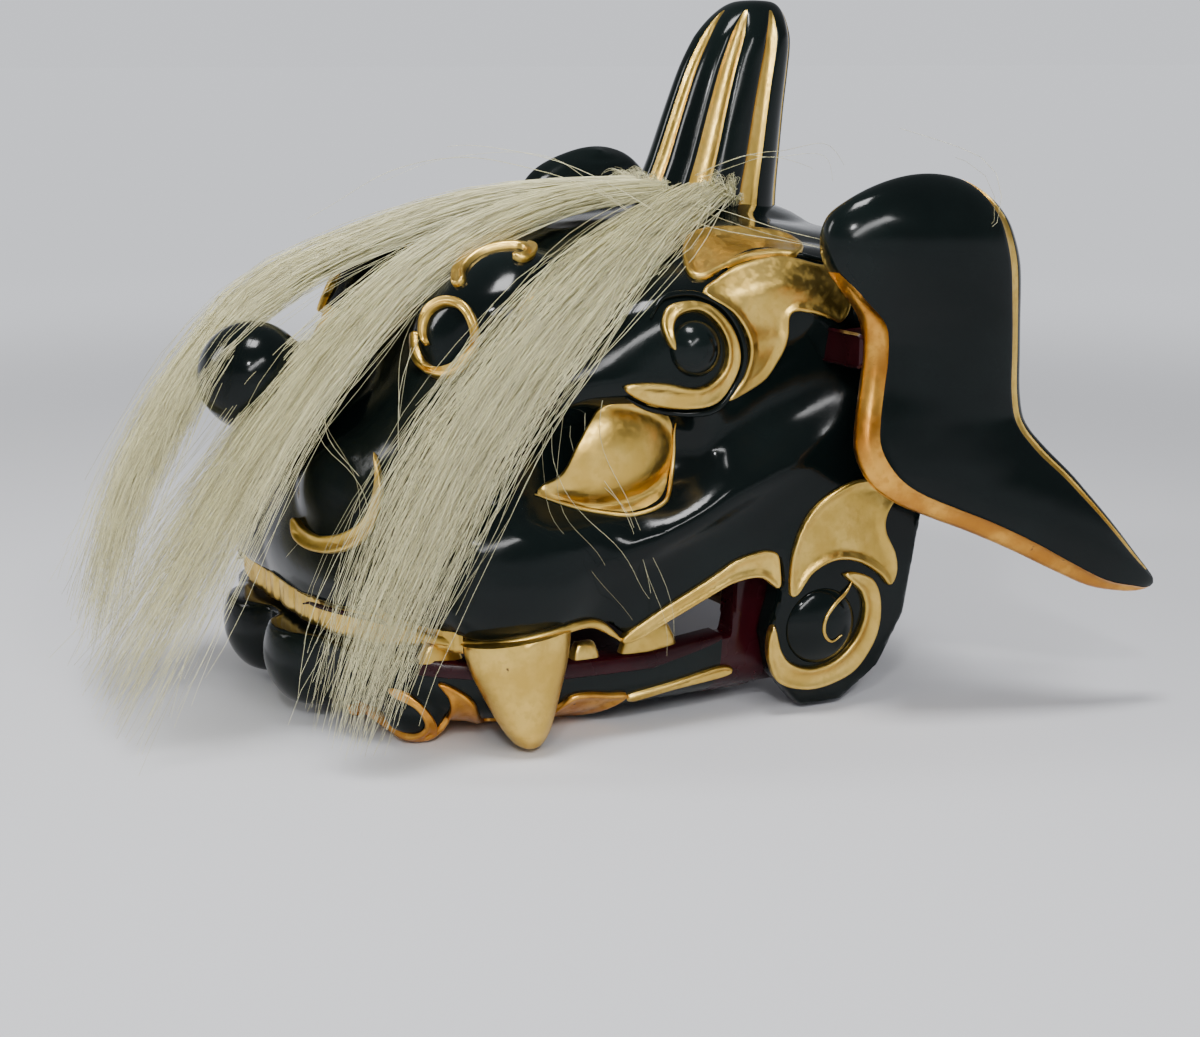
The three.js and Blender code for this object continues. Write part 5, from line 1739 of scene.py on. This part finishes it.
def grown_by(tree: bpy.types.GeometryNodeTree, base: bpy.types.Mesh, name: str,
             sizes: dict[str, float]) -> bpy.types.Object:
    """Runs a tree on a base mesh and keeps the result as a plain mesh.

    Args:
        tree: the Geometry Nodes tree.
        base: the mesh that it starts from.
        name: the piece's name.
        sizes: the tree's inputs by name.

    Returns:
        The finished object.
    """
    carrier = bpy.data.objects.new(name + "_base", base)
    bpy.context.collection.objects.link(carrier)
    modifier = carrier.modifiers.new("grow", "NODES")
    modifier.node_group = tree
    for socket in tree.interface.items_tree:
        if socket.in_out == "INPUT" and socket.name in sizes:
            modifier[socket.identifier] = sizes[socket.name]
    shown = carrier.evaluated_get(bpy.context.evaluated_depsgraph_get())
    mesh = bpy.data.meshes.new_from_object(shown)
    mesh.name = name
    made = bpy.data.objects.new(name, mesh)
    bpy.context.collection.objects.link(made)
    bpy.data.objects.remove(carrier)
    return made


def polyline_mesh(name: str, lines: Sequence[Points], attributes: dict[str, Sequence[Points]]) -> bpy.types.Mesh:
    """Makes a mesh of open lines with values at their points.

    Args:
        name: the mesh's name.
        lines: the points of each line, in millimetres.
        attributes: values at the same points by name, single or in threes.

    Returns:
        The mesh.
    """
    mesh = bpy.data.meshes.new(name)
    points = np.concatenate(lines) * MM
    edges, start = [], 0
    for line in lines:
        edges += [(start + i, start + i + 1) for i in range(len(line) - 1)]
        start += len(line)
    mesh.from_pydata(points.tolist(), edges, [])
    for key, rows in attributes.items():
        values = np.concatenate(rows)
        kind, field_name = ("FLOAT", "value") if values.ndim == 1 else ("FLOAT_VECTOR", "vector")
        mesh.attributes.new(key, kind, "POINT").data.foreach_set(field_name, values.astype(np.float32).ravel())
    return mesh


@dataclass
class TrimLines:
    """Thin half-round lines that follow the carving."""

    rows: dict = field(default_factory=dict)

    def add(self, name: str, body: Body, slot: Slot, line: Points, radius: float, taper: float = 0.12) -> None:
        """Notes a line to be made.

        Args:
            name: the piece's name.
            body: what it rides on.
            slot: its finish.
            line: its points.
            radius: its thickness at its middle.
            taper: the share of its length over which each end thins.
        """
        spaced = evenly(np.asarray(line, float), 1.6)
        t = np.linspace(0, 1, len(spaced))
        thin = np.clip(np.minimum(t, 1 - t) / max(taper, 1e-3), 0.12, 1)
        self.rows.setdefault(name, (body, slot, [], []))
        self.rows[name][2].append(spaced)
        self.rows[name][3].append(radius * np.sqrt(thin))

    def tree(self, slot: Slot) -> bpy.types.GeometryNodeTree:
        """The tree that gives each line its body.

        Args:
            slot: the lines' finish.

        Returns:
            The tree.
        """
        plan = NodePlan(f"trim_line_{slot.value}")
        scale = plan.size("Thickness", 1.0)
        curve = plan.add("GeometryNodeMeshToCurve", {"Mesh": plan.start.outputs["Geometry"]})
        radius = plan.maths("MULTIPLY", plan.named("thick", "FLOAT"), scale)
        sized = plan.add("GeometryNodeSetCurveRadius", {"Curve": curve.outputs[0], "Radius": radius})
        round_section = plan.add("GeometryNodeCurvePrimitiveCircle", {"Resolution": 10, "Radius": MM})
        size = plan.add("GeometryNodeInputRadius").outputs[0]
        body = plan.add("GeometryNodeCurveToMesh",
                        {"Curve": sized.outputs[0], "Profile Curve": round_section.outputs[0], "Scale": size,
                         "Fill Caps": True})
        return plan.close(body.outputs[0], slot)

    def build(self) -> None:
        """Builds every noted line."""
        trees = {}
        for name, (body, slot, lines, radii) in self.rows.items():
            if slot not in trees:
                trees[slot] = self.tree(slot)
            base = polyline_mesh(name, lines, {"thick": radii})
            piece = grown_by(trees[slot], base, name, {"Thickness": 1.0})
            piece.data.polygons.foreach_set("use_smooth", [True] * len(piece.data.polygons))
            seat(piece, body)


TRIM = TrimLines()


@dataclass
class FineLines:
    """The black borders, red lips and thin gilt hooks."""

    head: HeadForm

    def drawn(self, corners: Sequence, view: View, value: Value, lift: float = 0.0) -> Points:
        """Lays a drawn line on a form.

        Args:
            corners: the line's corners.
            view: the plane that it is drawn on.
            value: the form.
            lift: how far it stands off.

        Returns:
            The line's points.
        """
        flat = evenly(curve_through(np.array(corners, float), 10 * len(corners)), 1.5)
        base = view.onto(value, flat)
        return base + slope_of(value, base, 2.5) * lift

    def build(self) -> None:
        """Notes every line on both sides."""
        ring = [(-14, 162), (0, 155.5), (16, 152.5), (33, 154.5), (44.5, 169), (45.5, 185), (38, 199.5), (25, 206.5),
                (9, 205.5), (0, 197)]
        border = self.drawn(ring, SIDE, self.head.face, 0.6)
        hook = self.drawn(CHEEK_HOOK, SIDE, self.head.face, 0.4)
        centre, radius, height = CHEEK_BALL
        away = radius - np.hypot(hook[:, 1] - centre[0], hook[:, 2] - centre[1])
        hook[:, 0] += height * np.sqrt(np.clip(1 - (1 - np.clip(away / radius, 0, 1)) ** 2, 0, 1))
        for _ in range(30):
            hook[1:-1, 0] = (hook[:-2, 0] + 2 * hook[1:-1, 0] + hook[2:, 0]) / 4
        eye = [(15, 147), (16, 132), (12, 119), (4, 110.5), (-12, 106.5), (-28, 108.5), (-42, 112.5), (-58, 119)]
        eye_rim = self.drawn(eye, SIDE, self.head.face, 0.5)
        leaf = self.drawn([(40, 214), (55, 221), (73, 224), (92, 220), (104, 216), (109, 205), (107, 194)], SIDE,
                          self.head.face, 0.3)
        roll = self.drawn(LIP_ROLL, SIDE, self.head.face, 0.6)
        red = self.drawn([(-146, 61), (-130, 61.5), (-112, 57), (-104, 52)], SIDE, self.head.face, 0.2)
        for side_name, side in SIDES:
            mirror = (side, 1, 1)
            TRIM.add(f"brow_border_{side_name}", Body.HEAD, Slot.BLACK, border * mirror, 1.7)
            TRIM.add(f"leaf_border_{side_name}", Body.HEAD, Slot.BLACK, leaf * mirror, 1.5)
            TRIM.add(f"cheek_hook_{side_name}", Body.HEAD, Slot.GOLD, hook * mirror, 0.9, 0.3)
            TRIM.add(f"eye_rim_{side_name}", Body.HEAD, Slot.GOLD, eye_rim * mirror, 1.1, 0.2)
            TRIM.add(f"lip_roll_{side_name}", Body.HEAD, Slot.GOLD, roll * mirror, 2.3, 0.1)
            TRIM.add(f"lip_red_{side_name}", Body.HEAD, Slot.WINE, red * mirror, 1.2)


@dataclass
class Bundle:
    """One bundle of the mane: its middle line, how wide it lies and how many strands it has."""

    name: str
    middle: tuple
    widths: tuple
    strands: int
    depth: float = 9.0
    wander: float = 15.0


@dataclass
class Mane:
    """The horsehair: three bundles of loose strands, short curled ends at the roots and some strays."""

    head: HeadForm
    lift: float = 2.0
    rows: int = 26
    bundles: tuple = (
        Bundle("near", ((14, 99, 243), (55, 43, 228), (80, -1, 210), (98, -38, 188), (110, -70, 161), (118, -97, 135),
                        (122, -116, 108), (124, -132, 78), (124, -145, 42), (122, -153, 13)),
               (13, 16, 19, 20, 20, 19, 18, 17, 15, 13), 950),
        Bundle("mid", ((6, 66, 243), (20, 0, 240), (26, -68, 216), (35, -125, 170), (35, -165, 124), (30, -205, 64),
                       (25, -236, 12)),
               (14, 16, 19, 25, 31, 36, 38), 1200),
        Bundle("far", ((-8, 64, 244), (-36, -20, 238), (-45, -108, 205), (-46, -135, 190), (-50, -190, 122),
                       (-50, -212, 62), (-54, -222, 28)),
               (15, 18, 22, 27, 33, 38, 40), 1200),
    )
    off_head: tuple = (0.86, -0.457, 0.225)
    points: int = 20
    thickness: float = 0.21
    shortest: float = 0.6

    def lifted(self, line: Points) -> Points:
        """Pushes a line out until it clears the carving.

        Args:
            line: the line's points.

        Returns:
            The lifted points.
        """
        line = line.copy()
        for _ in range(24):
            value = self.head.under_hair(line)
            short = np.clip(self.lift - value, 0, 3)
            line += np.array(self.off_head) * short[:, None]
        smooth = line.copy()
        for _ in range(3):
            smooth[1:-1] = (smooth[:-2] + 2 * smooth[1:-1] + smooth[2:]) / 4
        return smooth

    def rails(self, bundle: Bundle) -> dict[str, Points]:
        """A bundle's middle line with the shifts that spread strands across and off it.

        Args:
            bundle: the bundle.

        Returns:
            The middle line, and at its points the shift to its edge, its bow and the way off the head, in metres.
        """
        middle = self.lifted(curve_through(np.array(bundle.middle, float), self.rows))
        widths = curve_through(np.array(bundle.widths, float)[:, None], self.rows)[:, 0]
        ahead = np.gradient(middle, axis=0)
        ahead /= np.linalg.norm(ahead, axis=1, keepdims=True)
        off = slope_of(self.head.skull, middle, 4.0)
        across = np.cross(ahead, off)
        across /= np.linalg.norm(across, axis=1, keepdims=True)
        right = self.lifted(middle + across * widths[:, None])
        left = self.lifted(middle - across * widths[:, None])
        return {"line": middle, "across": (right - left) / 2 * MM, "bow": ((right + left) / 2 - middle) * MM,
                "off": np.cross(across, ahead) * np.sign((np.cross(across, ahead) * off).sum(1))[:, None] * MM}

    def tree(self) -> bpy.types.GeometryNodeTree:
        """The tree that fills each guide line with strands.

        Returns:
            The tree.
        """
        plan = NodePlan("strands")
        strands = plan.size("Strands", 2000, "NodeSocketInt")
        segments = plan.size("Points", 16, "NodeSocketInt")
        thickness = plan.size("Thickness", 0.28)
        depth = plan.size("Depth", 7.0)
        wander = plan.size("Wander", 5.0)
        shortest = plan.size("Shortest", 0.72)
        seed = plan.size("Seed", 7, "NodeSocketInt")
        curve = plan.add("GeometryNodeMeshToCurve", {"Mesh": plan.start.outputs["Geometry"]})
        even = plan.add("GeometryNodeResampleCurve", {"Curve": curve.outputs[0], "Count": segments})
        many = plan.add("GeometryNodeDuplicateElements", {"Geometry": even.outputs[0], "Amount": strands},
                        domain="SPLINE")
        index = plan.add("GeometryNodeInputIndex").outputs[0]
        marked = plan.add("GeometryNodeStoreNamedAttribute",
                          {"Geometry": many.outputs["Geometry"], "Name": "strand", "Value": index},
                          data_type="INT", domain="CURVE")
        strand = plan.named("strand", "INT")
        clump = plan.maths("FLOOR", plan.chance(0, 46, strand, 11))
        clump_place = plan.maths("ADD", plan.chance(-0.46, 0.46, clump, 12), plan.chance(-0.46, 0.46, clump, 13))
        own_place = plan.maths("ADD", clump_place, plan.chance(-0.2, 0.2, strand, seed))
        loose = plan.maths("POWER", plan.chance(-1, 1, strand, 22), 3.0)
        crossing = plan.maths("ADD", plan.chance(-0.6, 0.6, strand, 21), plan.maths("MULTIPLY", loose, 1.1))
        along = plan.add("GeometryNodeSplineParameter").outputs["Factor"]
        bends = plan.maths("ADD", plan.maths("MULTIPLY", along, plan.chance(4.0, 13.0, strand, 23)),
                           plan.chance(0, 6.283, strand, 24))
        sway = plan.maths("MULTIPLY", plan.maths("SINE", bends), plan.chance(0.05, 0.46, strand, 25))
        share = plan.maths("ADD", plan.maths("ADD", own_place, plan.maths("MULTIPLY", crossing, along)), sway)
        level = plan.maths("MULTIPLY", plan.chance(0, 1, strand, 31), depth)
        shift = plan.scaled(plan.named("across", "FLOAT_VECTOR"), share)
        bowed = plan.scaled(plan.named("bow", "FLOAT_VECTOR"), plan.maths("MULTIPLY", share, share))
        raised = plan.scaled(plan.named("off", "FLOAT_VECTOR"), level)
        seat_of = plan.add("ShaderNodeCombineXYZ", {"X": plan.maths("MULTIPLY", clump, 3.7),
                                                    "Y": plan.maths("MULTIPLY", along, 2.2),
                                                    "Z": plan.chance(0, 30.0, strand, 41)})
        noise = plan.add("ShaderNodeTexNoise", {"Vector": seat_of.outputs[0], "Scale": 1.0, "Detail": 1.0})
        centred = plan.vectors("SUBTRACT", noise.outputs["Color"], (0.5, 0.5, 0.5))
        growth = plan.maths("MULTIPLY", plan.maths("ADD", along, 0.25), wander)
        growth = plan.maths("MULTIPLY", growth, 2.0 * MM)
        waved = plan.scaled(centred, growth)
        total = plan.vectors("ADD", plan.vectors("ADD", shift, bowed), plan.vectors("ADD", raised, waved))
        moved = plan.add("GeometryNodeSetPosition", {"Geometry": marked.outputs[0], "Offset": total})
        cut = plan.add("GeometryNodeTrimCurve", {"Curve": moved.outputs[0]}, mode="FACTOR")
        least = plan.maths("ADD", shortest, plan.maths("MULTIPLY", plan.maths("SUBTRACT", 1.0, shortest),
                                                       plan.chance(0, 1, strand, 51)))
        plan.tree.links.new(least, next(s for s in cut.inputs if s.name == "End" and s.enabled))
        thin = plan.maths("SUBTRACT", 1.0, plan.maths("MULTIPLY", along, 0.6))
        radius = plan.maths("MULTIPLY", plan.maths("MULTIPLY", thickness, thin), plan.chance(0.7, 1.25, strand, 61))
        sized = plan.add("GeometryNodeSetCurveRadius", {"Curve": cut.outputs[0], "Radius": radius})
        # Each lock and each strand gets a darkening that is partly real tint and partly painted shade between
        # strands.
        lock_tint_and_painted_shade = plan.maths("MULTIPLY", plan.maths("POWER", plan.chance(0, 1, clump, 72), 2.0), 0.35)
        own_tint_and_painted_shade = plan.maths("MULTIPLY", plan.maths("POWER", plan.chance(0, 1, strand, 71), 2.5), 0.75)
        strand_tint_and_painted_shade = plan.maths("ADD", lock_tint_and_painted_shade, own_tint_and_painted_shade)
        tint_and_shade_stored = plan.add("GeometryNodeStoreNamedAttribute",
                          {"Geometry": sized.outputs[0], "Name": "tint", "Value": strand_tint_and_painted_shade},
                          data_type="FLOAT", domain="CURVE")
        section = plan.add("GeometryNodeCurvePrimitiveCircle", {"Resolution": 3, "Radius": MM})
        size = plan.add("GeometryNodeInputRadius").outputs[0]
        body = plan.add("GeometryNodeCurveToMesh",
                        {"Curve": tint_and_shade_stored.outputs[0], "Profile Curve": section.outputs[0], "Scale": size,
                         "Fill Caps": True})
        return plan.close(body.outputs[0], Slot.HAIR)

    def short_ends(self) -> list[dict[str, Points]]:
        """Guides for the short curled ends round the front of the horn.

        Returns:
            The guides.
        """
        generator = np.random.default_rng(5)
        guides = []
        for turn in np.linspace(math.radians(185), math.radians(355), 30):
            away = np.array([math.cos(turn), math.sin(turn), 0])
            foot = np.array([0, HORN_Y, CROWN_HEIGHT]) + away * (33, 38, 0) + (0, 0, 3)
            reach, tall = generator.uniform(6, 22), generator.uniform(4, 15)
            side = np.array([-away[1], away[0], 0]) * generator.uniform(-16, 16)
            t = np.linspace(0, 1, 9)[:, None]
            line = foot + away * reach * t + side * t ** 2 + np.array([0, 0, 1]) * tall * np.sin(math.pi * 0.8 * t)
            count = np.ones((9, 1))
            guides.append({"line": line, "across": count * side * 0.35 * MM, "bow": count * away * 2 * MM,
                           "off": count * np.array([0, 0, 1.0]) * MM})
        return guides

    def strays(self) -> list[dict[str, Points]]:
        """Guides for single loose strands.

        Returns:
            The guides.
        """
        lines = (
            ((118, -20, 175), (128, -30, 140), (140, -14, 104), (150, 0, 62), (150, -6, 30), (150, -8, 14)),
            ((20, 70, 246), (70, 64, 240), (120, 78, 232), (165, 118, 226), (192, 150, 240), (170, 160, 268),
             (120, 130, 282)),
            ((112, -40, 160), (138, -52, 118), (146, -36, 92), (148, -16, 58)),
            ((30, -60, 214), (58, -96, 176), (84, -110, 140), (104, -118, 96), (112, -130, 60)),
            ((35, -120, 176), (60, -134, 150), (86, -128, 120), (108, -126, 84)),
            ((90, 0, 205), (104, -50, 180), (96, -90, 150), (70, -130, 116), (44, -158, 70), (30, -168, 30)),
            ((-20, -60, 234), (-20, -130, 205), (-10, -180, 160), (0, -214, 96), (14, -226, 40)),
            ((60, 30, 236), (20, 0, 262), (-30, -40, 262), (-60, -100, 232)),
            ((30, -150, 150), (50, -176, 96), (56, -186, 50), (44, -190, 18)),
            ((14, 80, 248), (44, 104, 262), (60, 134, 262), (58, 150, 244)),
        )
        guides = []
        for corners in lines:
            line = curve_through(np.array(corners, float), 24)
            flat = np.tile((0.0, 0.0, 0.0), (24, 1))
            across = flat + (0.008, 0.006, 0.004)
            guides.append({"line": line, "across": across, "bow": flat, "off": flat + (0, 0, MM)})
        return guides

    def grown(self, name: str, guides: Sequence[dict[str, Points]], sizes: dict[str, float]) -> bpy.types.Object:
        """Grows strands on guides.

        Args:
            name: the piece's name.
            guides: the guide lines.
            sizes: the tree's inputs.

        Returns:
            The hair as one mesh.
        """
        keys = ("across", "bow", "off")
        base = polyline_mesh(name, [g["line"] for g in guides], {k: [g[k] for g in guides] for k in keys})
        return grown_by(self.hair_tree, base, name, sizes)

    def build(self) -> None:
        """Builds the whole mane."""
        self.hair_tree = self.tree()
        for number, bundle in enumerate(self.bundles):
            sizes = {"Strands": bundle.strands, "Points": self.points, "Thickness": self.thickness,
                     "Depth": bundle.depth, "Wander": bundle.wander, "Shortest": self.shortest, "Seed": 100 + number}
            piece = self.grown(f"mane_{bundle.name}", [self.rails(bundle)], sizes)
            seat(piece, Body.HEAD, ["mane"] if number == 0 else [])
        piece = self.grown("mane_roots", self.short_ends(),
                           {"Strands": 30, "Points": 9, "Thickness": 0.15, "Depth": 4.0, "Wander": 4.0,
                            "Shortest": 0.4, "Seed": 200})
        seat(piece, Body.HEAD)
        piece = self.grown("mane_strays", self.strays(),
                           {"Strands": 3, "Points": 24, "Thickness": 0.18, "Depth": 3.0, "Wander": 9.0,
                            "Shortest": 0.6, "Seed": 300})
        seat(piece, Body.HEAD)


@dataclass(frozen=True)
class Lamp:
    """One soft box: where it stands and its size in metres, its power in watts and its roll in degrees."""

    name: str
    place: Triple
    size: tuple[float, float]
    power: float
    roll: float = 0.0
    target: Triple = (0, 0, 0.12)

    def build(self) -> None:
        """Makes the lamp and points it at its target."""
        data = bpy.data.lights.new(self.name, "AREA")
        data.shape = "RECTANGLE"
        data.size, data.size_y = self.size
        data.energy = self.power
        lamp = bpy.data.objects.new(self.name, data)
        lamp.location = self.place
        lamp.rotation_mode = "QUATERNION"
        aimed = (Vector(self.target) - Vector(self.place)).to_track_quat("-Z", "Y")
        lamp.rotation_quaternion = aimed @ Quaternion((0, 0, 1), math.radians(self.roll))
        bpy.context.collection.objects.link(lamp)


@dataclass
class Studio:
    """The floor, the sky, the lamps and the camera."""

    azimuth: float = 62.0
    elevation: float = 13.0
    distance: float = 1.08
    aim: Triple = (0.0, 0.041, 0.0722)
    lens: float = 60.0
    sensor: float = 36.0
    floor_reach: float = 60.0
    sky_fade: tuple[float, float] = (0.1, 0.34)
    sky_overhead: float = 0.27
    lamps: tuple[Lamp, ...] = (
        Lamp("overhead", (0.3, -0.2, 2.0), (0.5, 0.5), 31.0),
        Lamp("window", (-0.9, -1.7, 1.3), (0.45, 0.8), 19.0),
        Lamp("near_box", (1.5, -0.9, 1.3), (0.14, 0.14), 9.0),
        Lamp("cheek_strip", (1.6, -0.35, 1.15), (1.3, 0.17), 17.0, 35.0),
    )

    def camera(self) -> None:
        """Makes the camera at the photograph's angle."""
        a, e = math.radians(self.azimuth), math.radians(self.elevation)
        back = Vector((math.sin(a) * math.cos(e), -math.cos(a) * math.cos(e), math.sin(e)))
        data = bpy.data.cameras.new("camera")
        data.lens = self.lens
        data.sensor_width = self.sensor
        data.clip_start, data.clip_end = 0.05, 200.0
        eye = bpy.data.objects.new("camera", data)
        eye.location = Vector(self.aim) + back * self.distance
        eye.rotation_mode = "QUATERNION"
        eye.rotation_quaternion = (-back).to_track_quat("-Z", "Y")
        bpy.context.collection.objects.link(eye)
        bpy.context.scene.camera = eye

    def sky(self) -> None:
        """Makes the sky, even at the horizon and dimmer overhead, so that the lacquer stays dark."""
        world = bpy.data.worlds.new("sky")
        bpy.context.scene.world = world
        world.use_nodes = True
        nodes, links = world.node_tree.nodes, world.node_tree.links
        sky = nodes["Background"]
        sky.inputs["Color"].default_value = (*SKY_COLOUR, 1)
        direction = nodes.new("ShaderNodeTexCoord")
        parts = nodes.new("ShaderNodeSeparateXYZ")
        links.new(direction.outputs["Generated"], parts.inputs[0])
        fade = nodes.new("ShaderNodeMapRange")
        fade.interpolation_type = "SMOOTHSTEP"
        values = (*self.sky_fade, SKY_LIGHT, self.sky_overhead)
        for name, value in zip(("From Min", "From Max", "To Min", "To Max"), values):
            fade.inputs[name].default_value = value
        links.new(parts.outputs["Z"], fade.inputs["Value"])
        links.new(fade.outputs["Result"], sky.inputs["Strength"])

    def build(self) -> None:
        """Builds the camera, the sky, the floor and the lamps."""
        self.camera()
        self.sky()
        side = self.floor_reach / MM
        corners = np.array([(-side, -side, 0), (side, -side, 0), (side, side, 0), (-side, side, 0)])
        floor = mesh_object("floor", Patch(corners, [[0, 1, 2, 3]]), [])
        floor.data.materials.append(PaleFloor().material())
        for lamp in self.lamps:
            lamp.build()


def dress_pin() -> None:
    """Gives the jaw's dowel, which keeps its own mesh, its bare wood."""
    for node in bpy.data.objects:
        if node.type == "MESH" and node.name.startswith("jaw_pin"):
            node.data.materials.clear()
            node.data.materials.append(PALETTE[Slot.WOOD])


def main() -> None:
    """Builds every piece in order round the frame."""
    logging.basicConfig(level=logging.INFO, format="%(name)s: %(message)s")
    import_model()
    Studio().build()
    head, jaw = HeadForm(), JawForm()
    CarvedBodies(head, jaw).build()
    ReliefWork(head, jaw).build()
    Horn().build()
    Ears().build()
    Eyes(head).build()
    Teeth().build(head, jaw)
    FineLines(head).build()
    TRIM.build()
    Mane(head).build()
    dress_pin()


if __name__ == "__main__":
    main()
